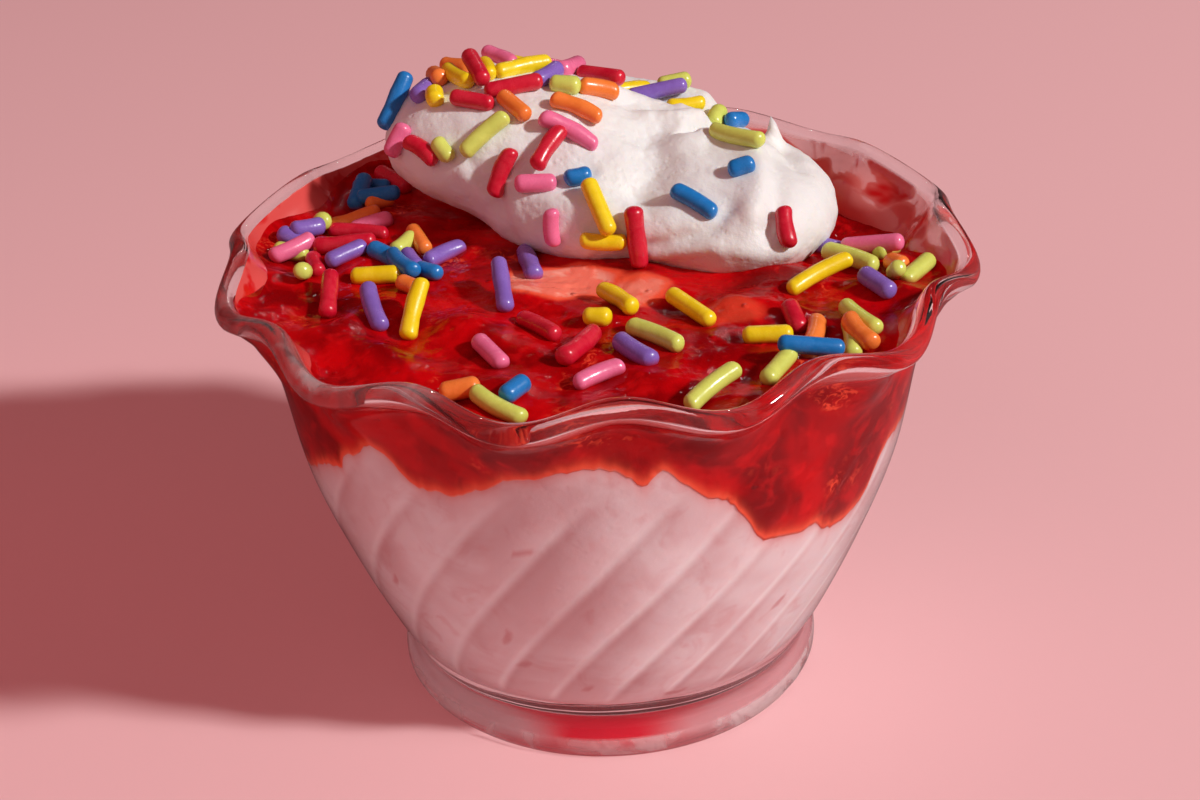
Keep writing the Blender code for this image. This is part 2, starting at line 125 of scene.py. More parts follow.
class Tree:
    """A node tree that is being wired."""

    def __init__(self, tree: bpy.types.NodeTree) -> None:
        """Take a node tree to work on."""
        self.tree = tree

    def add(self, kind: str, **settings: object) -> bpy.types.Node:
        """Add a node.

        Args:
            kind: The node's type name without "ShaderNode".
            settings: Properties to set on it.

        Returns:
            The new node.
        """
        node = self.tree.nodes.new("ShaderNode" + kind)
        for name, value in settings.items():
            setattr(node, name, value)
        return node

    def feed(self, socket: bpy.types.NodeSocket, source: object) -> None:
        """Give an input a plain value, or link another node's output to it.

        Args:
            socket: The input.
            source: The value, colour or output.
        """
        if isinstance(source, bpy.types.NodeSocket):
            self.tree.links.new(source, socket)
        elif isinstance(source, tuple) and len(source) == 3 and socket.type == "RGBA":
            socket.default_value = (*source, 1.0)
        else:
            socket.default_value = source

    def noise(
        self, place: bpy.types.NodeSocket, scale: float, detail: float = 2.0, rough: float = 0.5,
        bend: float = 0.0,
    ) -> bpy.types.NodeSocket:
        """Cloudy noise.

        Args:
            place: Where the noise is read.
            scale: Cells per metre.
            detail: Number of finer layers.
            rough: Strength of the finer layers.
            bend: How far the noise distorts itself.

        Returns:
            The noise's value.
        """
        node = self.add("TexNoise")
        self.feed(node.inputs["Vector"], place)
        self.feed(node.inputs["Scale"], scale)
        self.feed(node.inputs["Detail"], detail)
        self.feed(node.inputs["Roughness"], rough)
        self.feed(node.inputs["Distortion"], bend)
        return node.outputs["Fac"]

    def cells(self, place: bpy.types.NodeSocket, scale: float, feature: str = "F1") -> bpy.types.NodeSocket:
        """Distance to the nearest of many scattered spots.

        Args:
            place: Where it is read.
            scale: Spots per metre.
            feature: What is measured.

        Returns:
            The distance.
        """
        node = self.add("TexVoronoi", feature=feature)
        self.feed(node.inputs["Vector"], place)
        self.feed(node.inputs["Scale"], scale)
        return node.outputs["Distance"]

    def remap(
        self, value: bpy.types.NodeSocket, low: float, high: float, to_low: float = 0.0, to_high: float = 1.0
    ) -> bpy.types.NodeSocket:
        """Stretch a value softly from one range to another.

        Args:
            value: The value.
            low: Where the range starts.
            high: Where the range ends.
            to_low: Result at the start.
            to_high: Result at the end.

        Returns:
            The new value.
        """
        node = self.add("MapRange", interpolation_type="SMOOTHSTEP")
        for name, source in (
            ("Value", value), ("From Min", low), ("From Max", high), ("To Min", to_low), ("To Max", to_high)
        ):
            self.feed(node.inputs[name], source)
        return node.outputs["Result"]

    def maths(self, operation: str, *values: object, clamp: bool = False) -> bpy.types.NodeSocket:
        """One sum of two or three values.

        Args:
            operation: The sum's name in Blender.
            values: The values.
            clamp: Whether the result is held between 0 and 1.

        Returns:
            The result.
        """
        node = self.add("Math", operation=operation, use_clamp=clamp)
        for socket, value in zip(node.inputs, values):
            self.feed(socket, value)
        return node.outputs[0]

    def blend(self, share: object, a: object, b: object, mode: str = "MIX") -> bpy.types.NodeSocket:
        """Mix two colours.

        Args:
            share: How much of the second colour.
            a: The first colour.
            b: The second colour.
            mode: How they mix.

        Returns:
            The colour.
        """
        node = self.add("Mix", data_type="RGBA", blend_type=mode)
        self.feed(node.inputs[0], share)
        self.feed(node.inputs[6], a)
        self.feed(node.inputs[7], b)
        return node.outputs[2]

    def bump(
        self, height: bpy.types.NodeSocket, distance: float, strength: float = 1.0,
        normal: Optional[bpy.types.NodeSocket] = None,
    ) -> bpy.types.NodeSocket:
        """Turn a height into a normal.

        Args:
            height: The height.
            distance: How high it stands where it is 1.
            strength: Share of the effect.
            normal: A normal to start from.

        Returns:
            The bumped normal.
        """
        node = self.add("Bump")
        self.feed(node.inputs["Height"], height)
        self.feed(node.inputs["Distance"], distance)
        self.feed(node.inputs["Strength"], strength)
        if normal is not None:
            self.feed(node.inputs["Normal"], normal)
        return node.outputs["Normal"]

    def mark(self, name: str) -> bpy.types.NodeSocket:
        """Read a mark that the mesh's points carry."""
        node = self.add("Attribute", attribute_name=name)
        return node.outputs["Fac"]


class Finish(Tree):
    """A material that is being made."""

    def __init__(self, name: str) -> None:
        """Start a material.

        Args:
            name: Its name.
        """
        self.material = bpy.data.materials.new(name)
        self.material.use_nodes = True
        super().__init__(self.material.node_tree)
        self.shader = self.tree.nodes["Principled BSDF"]
        self.place = self.add("TexCoord").outputs["Object"]

    def set(self, **inputs: object) -> None:
        """Set or link the shader's inputs, named with _ for a space."""
        for name, source in inputs.items():
            self.feed(self.shader.inputs[name.replace("_", " ")], source)

    def effect(self, group: bpy.types.NodeTree, **inputs: object) -> bpy.types.NodeSocket:
        """Place a shared effect.

        Args:
            group: The effect's node group.
            inputs: Its values.

        Returns:
            The group's first output.
        """
        node = self.add("Group", node_tree=group)
        self.feed(node.inputs["Place"], self.place)
        for name, source in inputs.items():
            self.feed(node.inputs[name], source)
        return node.outputs[0]


class Effects:
    """The shared effects: soft blotches and a fine grain."""

    def __init__(self) -> None:
        """Make the groups once."""
        self.blotches = self.make_blotches()
        self.grain = self.make_grain()

    @staticmethod
    def start(name: str, values: dict[str, float], result: str) -> tuple[Tree, dict, bpy.types.NodeSocket]:
        """Start a group.

        Args:
            name: The group's name.
            values: Its inputs with their first values, besides Place.
            result: The output's name.

        Returns:
            The tree, its inputs by name and the output's socket.
        """
        group = bpy.data.node_groups.new(name, "ShaderNodeTree")
        group.interface.new_socket("Place", in_out="INPUT", socket_type="NodeSocketVector")
        for label, value in values.items():
            socket = group.interface.new_socket(label, in_out="INPUT", socket_type="NodeSocketFloat")
            socket.default_value = value
        group.interface.new_socket(result, in_out="OUTPUT", socket_type="NodeSocketFloat")
        entry = group.nodes.new("NodeGroupInput")
        leave = group.nodes.new("NodeGroupOutput")
        inputs = {socket.name: socket for socket in entry.outputs}
        return Tree(group), inputs, leave.inputs[0]

    def make_blotches(self) -> bpy.types.NodeTree:
        """Soft uneven patches, 1 inside a patch and 0 outside."""
        tree, inputs, result = self.start("blotches", {"Scale": 100.0, "From": 0.45, "To": 0.6}, "Mask")
        broad = tree.noise(inputs["Place"], inputs["Scale"], 3.0, 0.55, 0.6)
        tree.feed(result, tree.remap(broad, inputs["From"], inputs["To"]))
        return tree.tree

    def make_grain(self) -> bpy.types.NodeTree:
        """A fine uneven grain of small pits and swellings."""
        tree, inputs, result = self.start("grain", {"Scale": 800.0, "Pits": 0.3}, "Height")
        swell = tree.noise(inputs["Place"], inputs["Scale"], 4.0, 0.6)
        pits = tree.remap(tree.cells(inputs["Place"], inputs["Scale"]), 0.0, 0.35, 1.0, 0.0)
        low = tree.maths("MULTIPLY", pits, inputs["Pits"])
        tree.feed(result, tree.maths("SUBTRACT", swell, low))
        return tree.tree


@dataclass(frozen=True)
class GlassFinish:
    """Clear pressed glass with a faintly uneven face, dulled on its lip and its foot."""

    tint: Rgb = (0.985, 0.992, 0.995)
    shade: Rgb = (0.96, 0.965, 0.965)
    ior: float = 1.5
    frosted: float = 0.42

    def make(self, effects: Effects) -> bpy.types.Material:
        """Make the material.

        Args:
            effects: The shared effects.

        Returns:
            The material.
        """
        finish = Finish("clear_glass")
        wavy = finish.noise(finish.place, 90.0, 2.0, 0.5)
        smudge = finish.effect(effects.blotches, Scale=60.0, From=0.5, To=0.75)
        polish = finish.remap(smudge, 0.0, 1.0, 0.008, 0.03)
        frost = finish.mark("frost")
        pitted = finish.maths("MULTIPLY", finish.effect(effects.grain, Scale=1400.0, Pits=0.4), frost)
        finish.set(
            Base_Color=self.tint,
            IOR=self.ior,
            Transmission_Weight=1.0,
            Roughness=finish.maths("MULTIPLY_ADD", frost, self.frosted, polish),
            Normal=finish.bump(pitted, 0.10 * MM, normal=finish.bump(wavy, 0.12 * MM)),
        )
        clear = finish.add("BsdfTransparent")
        finish.feed(clear.inputs["Color"], self.shade)
        path = finish.add("LightPath")
        both = finish.add("MixShader")
        lit = finish.maths("MAXIMUM", path.outputs["Is Shadow Ray"], path.outputs["Is Diffuse Ray"])
        finish.feed(both.inputs[0], lit)
        finish.feed(both.inputs[1], finish.shader.outputs["BSDF"])
        finish.feed(both.inputs[2], clear.outputs["BSDF"])
        output = finish.tree.nodes["Material Output"]
        finish.feed(output.inputs["Surface"], both.outputs["Shader"])
        return finish.material


@dataclass(frozen=True)
class IceCreamFinish:
    """Pale pink ice cream with paler streaks, pressed smooth by the glass, with a painted highlight on each
    rib, painted shade in air pockets and beside the ribs, and painted red light and a painted glow on its
    underside.
    """

    pink: Rgb = (0.76, 0.56, 0.57)
    pale: Rgb = (0.86, 0.76, 0.77)
    # Painted highlight on the ribs
    rib_highlight: Rgb = (0.97, 0.94, 0.94)
    # Painted shade in air pockets and beside the ribs; the random streaks share this colour
    pocket_shade: Rgb = (0.66, 0.30, 0.31)
    stain: Rgb = (0.80, 0.07, 0.05)
    # Painted red light and a painted pink glow on the underside, which the foot shows, though it is no lamp
    foot_red_light: Rgb = (0.94, 0.045, 0.085)
    foot_glow: Rgb = (0.80, 0.54, 0.56)
    glow: float = 0.13

    def make(self, effects: Effects) -> bpy.types.Material:
        """Make the material.

        Args:
            effects: The shared effects.

        Returns:
            The material.
        """
        finish = Finish("strawberry_ice_cream")
        patches = finish.effect(effects.blotches, Scale=85.0, From=0.38, To=0.66)
        grain = finish.effect(effects.grain, Scale=700.0, Pits=0.25)
        colour = finish.blend(patches, self.pink, self.pale)
        # Random darker streaks of the ice cream's own tone, in the colour of the painted shade
        streak = finish.remap(finish.noise(finish.place, 260.0, 3.0, 0.6, 1.0), 0.5, 0.72, 0.0, 0.35)
        colour = finish.blend(streak, colour, self.pocket_shade)
        # The painted highlight on the ribs, made uneven by noise
        highlight_unevenness = finish.remap(finish.noise(finish.place, 120.0, 2.0), 0.35, 0.65, 0.65, 1.0)
        rib_highlight = finish.maths("MULTIPLY", finish.mark("rib_highlight"), highlight_unevenness)
        colour = finish.blend(rib_highlight, colour, self.rib_highlight)
        # Painted shade in the air pockets and just beside each rib
        colour = finish.blend(finish.maths("MULTIPLY", finish.mark("pocket_shade"), 0.75), colour, self.pocket_shade)
        colour = finish.blend(finish.mark("stain"), colour, self.stain)
        # Painted red light on the underside, which the foot shows as a red band
        colour = finish.blend(finish.mark("foot_red_light"), colour, self.foot_red_light)
        # The painted glow's colour: pink, or red where the red light is painted
        lit = finish.blend(finish.mark("foot_red_light"), self.foot_glow, self.foot_red_light)
        finish.set(
            Base_Color=colour,
            Roughness=finish.remap(grain, 0.2, 0.8, 0.55, 0.38),
            Subsurface_Weight=0.25,
            Subsurface_Radius=(1.0, 0.45, 0.35),
            Subsurface_Scale=2.0 * MM,
            # The underside glows with painted light that the foot gathers, though it is no lamp
            Emission_Color=finish.blend(finish.mark("under"), (0.0, 0.0, 0.0), lit),
            Emission_Strength=self.glow,
            Normal=finish.bump(grain, 0.05 * MM),
        )
        return finish.material


@dataclass(frozen=True)
class SauceFinish:
    """Thick wet strawberry sauce: deep red, orange where it is thin, pale where it bares ice cream."""

    deep: Rgb = (0.24, 0.0006, 0.002)
    red: Rgb = (0.58, 0.0015, 0.004)
    bright: Rgb = (0.80, 0.008, 0.010)
    flesh: Rgb = (0.86, 0.08, 0.035)
    thin: Rgb = (0.92, 0.11, 0.05)
    bare: Rgb = (1.0, 0.42, 0.32)

    def make(self, effects: Effects) -> bpy.types.Material:
        """Make the material.

        Args:
            effects: The shared effects.

        Returns:
            The material.
        """
        finish = Finish("strawberry_sauce")
        broad = finish.effect(effects.blotches, Scale=120.0, From=0.36, To=0.66)
        small = finish.effect(effects.blotches, Scale=420.0, From=0.48, To=0.70)
        grain = finish.effect(effects.grain, Scale=520.0, Pits=0.6)
        colour = finish.blend(broad, self.deep, self.red)
        colour = finish.blend(finish.maths("MULTIPLY", small, 0.4), colour, self.bright)
        fruit = finish.effect(effects.blotches, Scale=95.0, From=0.58, To=0.70)
        fibres = finish.remap(finish.noise(finish.place, 900.0, 3.0, 0.6, 1.5), 0.48, 0.62)
        colour = finish.blend(finish.maths("MULTIPLY", fruit, fibres), colour, self.flesh)
        froth = finish.remap(finish.cells(finish.place, 330.0), 0.02, 0.16, 1.0, 0.0)
        froth = finish.maths("MULTIPLY", froth, finish.effect(effects.blotches, Scale=70.0, From=0.5, To=0.6))
        thin = finish.mark("thin")
        colour = finish.blend(finish.remap(thin, 0.0, 0.55), colour, self.thin)
        uneven = finish.effect(effects.blotches, Scale=260.0, From=0.40, To=0.60)
        patchy = finish.remap(uneven, 0.0, 1.0, 0.35, 1.0)
        bare = finish.maths("MULTIPLY", finish.remap(thin, 0.5, 1.0), patchy)
        colour = finish.blend(bare, colour, self.bare)
        finish.set(
            Base_Color=colour,
            Roughness=finish.remap(small, 0.0, 1.0, 0.05, 0.10),
            IOR=1.19,
            Subsurface_Weight=0.2,
            Subsurface_Radius=(1.0, 0.06, 0.04),
            Subsurface_Scale=1.5 * MM,
            Normal=finish.bump(froth, 0.24 * MM, normal=finish.bump(grain, 0.16 * MM)),
        )
        return finish.material


@dataclass(frozen=True)
class SmearFinish:
    """A thin streaky film of sauce on the glass."""

    red: Rgb = (0.62, 0.004, 0.006)
    pale: Rgb = (0.95, 0.32, 0.28)

    def make(self, effects: Effects) -> bpy.types.Material:
        """Make the material.

        Args:
            effects: The shared effects.

        Returns:
            The material.
        """
        finish = Finish("sauce_film")
        streaks = finish.effect(effects.blotches, Scale=150.0, From=0.40, To=0.66)
        film = finish.mark("film")
        body = finish.remap(film, 1.2, 2.2)
        thick = finish.maths("MAXIMUM", streaks, body)
        red_share = finish.maths("MAXIMUM", streaks, finish.maths("MULTIPLY", body, 0.75))
        colour = finish.blend(red_share, self.pale, self.red)
        cover = finish.remap(thick, 0.0, 1.0, 0.22, 0.95)
        alpha = finish.maths("MULTIPLY", cover, film, clamp=True)
        finish.set(Base_Color=colour, Roughness=0.18, IOR=1.4, Alpha=alpha, Coat_Weight=0.3)
        return finish.material


@dataclass(frozen=True)
class SheenFinish:
    """A thin grey sheet of painted sheen on the glass's lip and round its foot, standing in for the greyish
    reflections there.
    """

    # The painted sheen's grey
    grey: Rgb = (0.70, 0.65, 0.65)

    def make(self, effects: Effects) -> bpy.types.Material:
        """Make the material.

        Args:
            effects: The shared effects.

        Returns:
            The material.
        """
        finish = Finish("glass_sheen")
        # Uneven patches of painted sheen
        sheen_patches = finish.effect(effects.blotches, Scale=140.0, From=0.42, To=0.66)
        pits = finish.effect(effects.grain, Scale=1500.0, Pits=0.5)
        cover = finish.remap(sheen_patches, 0.0, 1.0, 0.25, 1.0)
        alpha = finish.maths("MULTIPLY", cover, finish.mark("sheen"), clamp=True)
        finish.set(
            Base_Color=self.grey, Roughness=0.30, Alpha=alpha, Coat_Weight=0.4, Coat_Roughness=0.05,
            Normal=finish.bump(pits, 0.08 * MM),
        )
        return finish.material


@dataclass(frozen=True)
class CreamFinish:
    """Warm white whipped cream, soft and slightly moist."""

    white: Rgb = (0.82, 0.85, 0.83)
    warm: Rgb = (0.79, 0.78, 0.73)
    stain: Rgb = (0.86, 0.22, 0.17)

    def make(self, effects: Effects) -> bpy.types.Material:
        """Make the material.

        Args:
            effects: The shared effects.

        Returns:
            The material.
        """
        finish = Finish("whipped_cream")
        patches = finish.effect(effects.blotches, Scale=110.0, From=0.45, To=0.75)
        grain = finish.effect(effects.grain, Scale=900.0, Pits=0.35)
        colour = finish.blend(finish.maths("MULTIPLY", patches, 0.5), self.white, self.warm)
        colour = finish.blend(finish.mark("stain"), colour, self.stain)
        finish.set(
            Base_Color=colour,
            Roughness=finish.remap(grain, 0.2, 0.8, 0.62, 0.42),
            Subsurface_Weight=0.30,
            Subsurface_Radius=(1.0, 0.75, 0.55),
            Subsurface_Scale=1.2 * MM,
            Normal=finish.bump(grain, 0.12 * MM),
        )
        return finish.material


class Candy(Enum):
    """The sprinkles' colours."""

    LIME = (0.70, 0.79, 0.14)
    YELLOW = (1.0, 0.76, 0.003)
    ORANGE = (1.0, 0.25, 0.035)
    CRIMSON = (0.68, 0.003, 0.030)
    PINK = (0.90, 0.18, 0.36)
    PURPLE = (0.25, 0.14, 0.56)
    BLUE = (0.004, 0.21, 0.60)


@dataclass(frozen=True)
class CandyFinish:
    """A satin sugar shell with faint mottling, reddened where the sauce wets it."""

    candy: Candy
    wet: Rgb = (0.42, 0.004, 0.008)

    def make(self, effects: Effects) -> bpy.types.Material:
        """Make the material.

        Args:
            effects: The shared effects.

        Returns:
            The material.
        """
        finish = Finish("sprinkle_" + self.candy.name.lower())
        base = self.candy.value
        dark = tuple(0.90 * c for c in base)
        light = tuple(mix(c, 1.0, 0.02) for c in base)
        patches = finish.effect(effects.blotches, Scale=700.0, From=0.35, To=0.65)
        grain = finish.effect(effects.grain, Scale=1900.0, Pits=0.2)
        colour = finish.blend(patches, dark, light)
        colour = finish.blend(finish.mark("wet"), colour, self.wet)
        finish.set(
            Base_Color=colour,
            Roughness=finish.remap(patches, 0.0, 1.0, 0.36, 0.26),
            Coat_Weight=0.15,
            Coat_Roughness=0.14,
            Subsurface_Weight=0.12,
            Subsurface_Radius=(1.0, 1.0, 1.0),
            Subsurface_Scale=0.4 * MM,
            Normal=finish.bump(grain, 0.03 * MM),
        )
        return finish.material


@dataclass(frozen=True)
class FloorFinish:
    """A plain pale matt floor, which shows little in the mirror of glass and sauce."""

    pale: Rgb = (0.92, 0.57, 0.59)
    mirrored: Rgb = (0.26, 0.14, 0.15)

    def make(self) -> bpy.types.Material:
        """Make the material."""
        finish = Finish("pale_floor")
        path = finish.add("LightPath")
        mirror = finish.maths(
            "SUBTRACT", path.outputs["Is Glossy Ray"], path.outputs["Is Transmission Ray"], clamp=True
        )
        finish.set(Base_Color=finish.blend(mirror, self.pale, self.mirrored), Roughness=0.75)
        return finish.material


def new_piece(name: str, bm: bmesh.types.BMesh, material: bpy.types.Material) -> bpy.types.Object:
    """Put a finished bmesh in the scene.

    Args:
        name: The piece's name.
        bm: Its mesh, in the frame's place. It is freed.
        material: Its material.

    Returns:
        The new object, shaded smooth.
    """
    mesh = bpy.data.meshes.new(name)
    bm.to_mesh(mesh)
    bm.free()
    mesh.materials.append(material)
    mesh.shade_smooth()
    piece = bpy.data.objects.new(name, mesh)
    bpy.context.scene.collection.objects.link(piece)
    return piece


def write_marks(piece: bpy.types.Object, name: str, values: Sequence[float]) -> None:
    """Store a mark for each point of a piece, for its material."""
    layer = piece.data.attributes.new(name, "FLOAT", "POINT")
    layer.data.foreach_set("value", np.asarray(values, dtype=np.float32))


def search_tree(piece: bpy.types.Object) -> BVHTree:
    """Make a search tree of a piece's faces."""
    mesh = piece.data
    return BVHTree.FromPolygons([v.co for v in mesh.vertices], [tuple(p.vertices) for p in mesh.polygons])


def turned(profile: Sequence[Vector], steps: int, closed_top: bool = True) -> bmesh.types.BMesh:
    """Turn a section about Z.

    Args:
        profile: Points of the section in the plane y = 0, from the axis round to the axis.
        steps: How many steps make the full turn.
        closed_top: Whether the section's ends lie on the axis, so that they are closed.

    Returns:
        The turned mesh, with its faces pointing out.
    """
    bm = bmesh.new()
    points = [bm.verts.new(place) for place in profile]
    edges = [bm.edges.new(pair) for pair in zip(points, points[1:])]
    bmesh.ops.spin(
        bm, geom=points + edges, cent=(0, 0, 0), axis=(0, 0, 1), dvec=(0, 0, 0), angle=math.tau,
        steps=steps, use_merge=True, use_duplicate=False,
    )
    if closed_top:
        on_axis = [v for v in bm.verts if math.hypot(v.co.x, v.co.y) < 1e-7]
        bmesh.ops.remove_doubles(bm, verts=on_axis, dist=1e-6)
    bmesh.ops.recalc_face_normals(bm, faces=bm.faces)
    return bm


@dataclass(frozen=True)
class DishWall:
    """The glass wall's faces, which the food inside follows."""

    lobes: int = 12
    lobe_turn: float = 17.5
    # The painted highlight on each rib: its thin line's offset and sharpness, how much it fades and from what
    # height, and its soft band's share
    line_offset: float = 0.02
    line_power: float = 13.0
    line_fade: float = 0.3
    fade_from: float = 13.0 * MM
    band_share: float = 0.5
    # Where the painted shade beside each rib lies, and its width
    shade_at: float = 0.13
    shade_width: float = 0.07
    lobe_reach: float = 0.95 * MM
    lobe_drop: float = 0.8 * MM
    wave_from: float = 40.0 * MM
    wave_full: float = 46.5 * MM
    floor_height: float = 6.5 * MM
    floor_flat: float = 14.0 * MM
    ribs: int = 24
    rib_depth: float = 0.55 * MM
    rib_round: float = 0.10
    rib_slant: float = 1.45 / MM
    rib_bottom: tuple[float, float] = (7.0 * MM, 9.0 * MM)
    rib_top: tuple[float, float] = (34.0 * MM, 40.0 * MM)
    outer: Points = (
        (0.0 * MM, 23.3 * MM), (0.5 * MM, 23.7 * MM), (2.4 * MM, 23.6 * MM), (3.0 * MM, 23.1 * MM),
        (4.8 * MM, 22.9 * MM), (10.0 * MM, 25.5 * MM),
        (19.0 * MM, 29.2 * MM), (29.0 * MM, 32.5 * MM), (40.0 * MM, 34.4 * MM), (46.0 * MM, 35.9 * MM),
        (48.0 * MM, 37.6 * MM),
    )
    inner: Points = (
        (6.6 * MM, 16.0 * MM), (7.4 * MM, 20.0 * MM), (9.9 * MM, 22.9 * MM), (19.0 * MM, 27.0 * MM),
        (28.0 * MM, 30.2 * MM), (37.0 * MM, 32.1 * MM), (43.5 * MM, 33.2 * MM), (46.5 * MM, 34.5 * MM),
        (48.7 * MM, 36.3 * MM), (50.2 * MM, 37.1 * MM),
    )

    def wave(self, angle: float, height: float) -> float:
        """How far the rim's lobes push out here, from -1 to 1."""
        share = smooth_step(self.wave_from, self.wave_full, height)
        return share * math.cos(math.radians(self.lobes * (angle - self.lobe_turn)))

    def rib_phase(self, angle: float, height: float) -> float:
        """Where a place lies between two ribs, from 0 at one rib to 1 at the next."""
        turn = angle - self.rib_slant * (height - self.rib_bottom[1])
        return (self.ribs * turn / 360.0) % 1.0

    def rib_share(self, height: float) -> float:
        """How strong the ribs are at a height, from 0 to 1."""
        return smooth_step(*self.rib_bottom, height) * (1.0 - smooth_step(*self.rib_top, height))

    def rib(self, angle: float, height: float) -> float:
        """How far the slanting ribs stand in here: narrow edges between broad round flutes.

        Args:
            angle: Angle round the dish.
            height: Height over the floor.

        Returns:
            The share of the ribs' full depth.
        """
        blunt = self.rib_round
        bulge = math.hypot(math.sin(math.pi * self.rib_phase(angle, height)), blunt)
        return self.rib_share(height) * (math.hypot(1.0, blunt) - bulge) / (math.hypot(1.0, blunt) - blunt)

    def rib_highlight(self, angle: float, height: float) -> float:
        """How much painted highlight lightens the food here: a thin bright line on each rib, and a soft lit
        band that fades beside it.

        Args:
            angle: Angle round the dish.
            height: Height over the floor.

        Returns:
            From 0 to 1.
        """
        phase = self.rib_phase(angle, height)
        line = (0.5 + 0.5 * math.cos(math.tau * (phase + self.line_offset))) ** self.line_power
        band = self.band_share * phase**3
        fade = 1.0 - self.line_fade * smooth_step(self.fade_from, self.rib_top[0], height)
        return self.rib_share(height) * max(line * fade, band)

    def shade(self, angle: float, height: float) -> float:
        """How much painted shade darkens the food just beside each rib, from 0 to 1."""
        beside = (self.rib_phase(angle, height) - self.shade_at) / self.shade_width
        return self.rib_share(height) * math.exp(-(beside**2))

    def inner_radius(self, angle: float, height: float) -> float:
        """Radius of the glass's inner face, with its ribs and lobes.

        Args:
            angle: Angle round the dish.
            height: Height over the floor.

        Returns:
            The radius.
        """
        w = self.wave(angle, height)
        radius = along(self.inner, height + self.lobe_drop * w)
        return radius + self.lobe_reach * w - self.rib_depth * self.rib(angle, height)


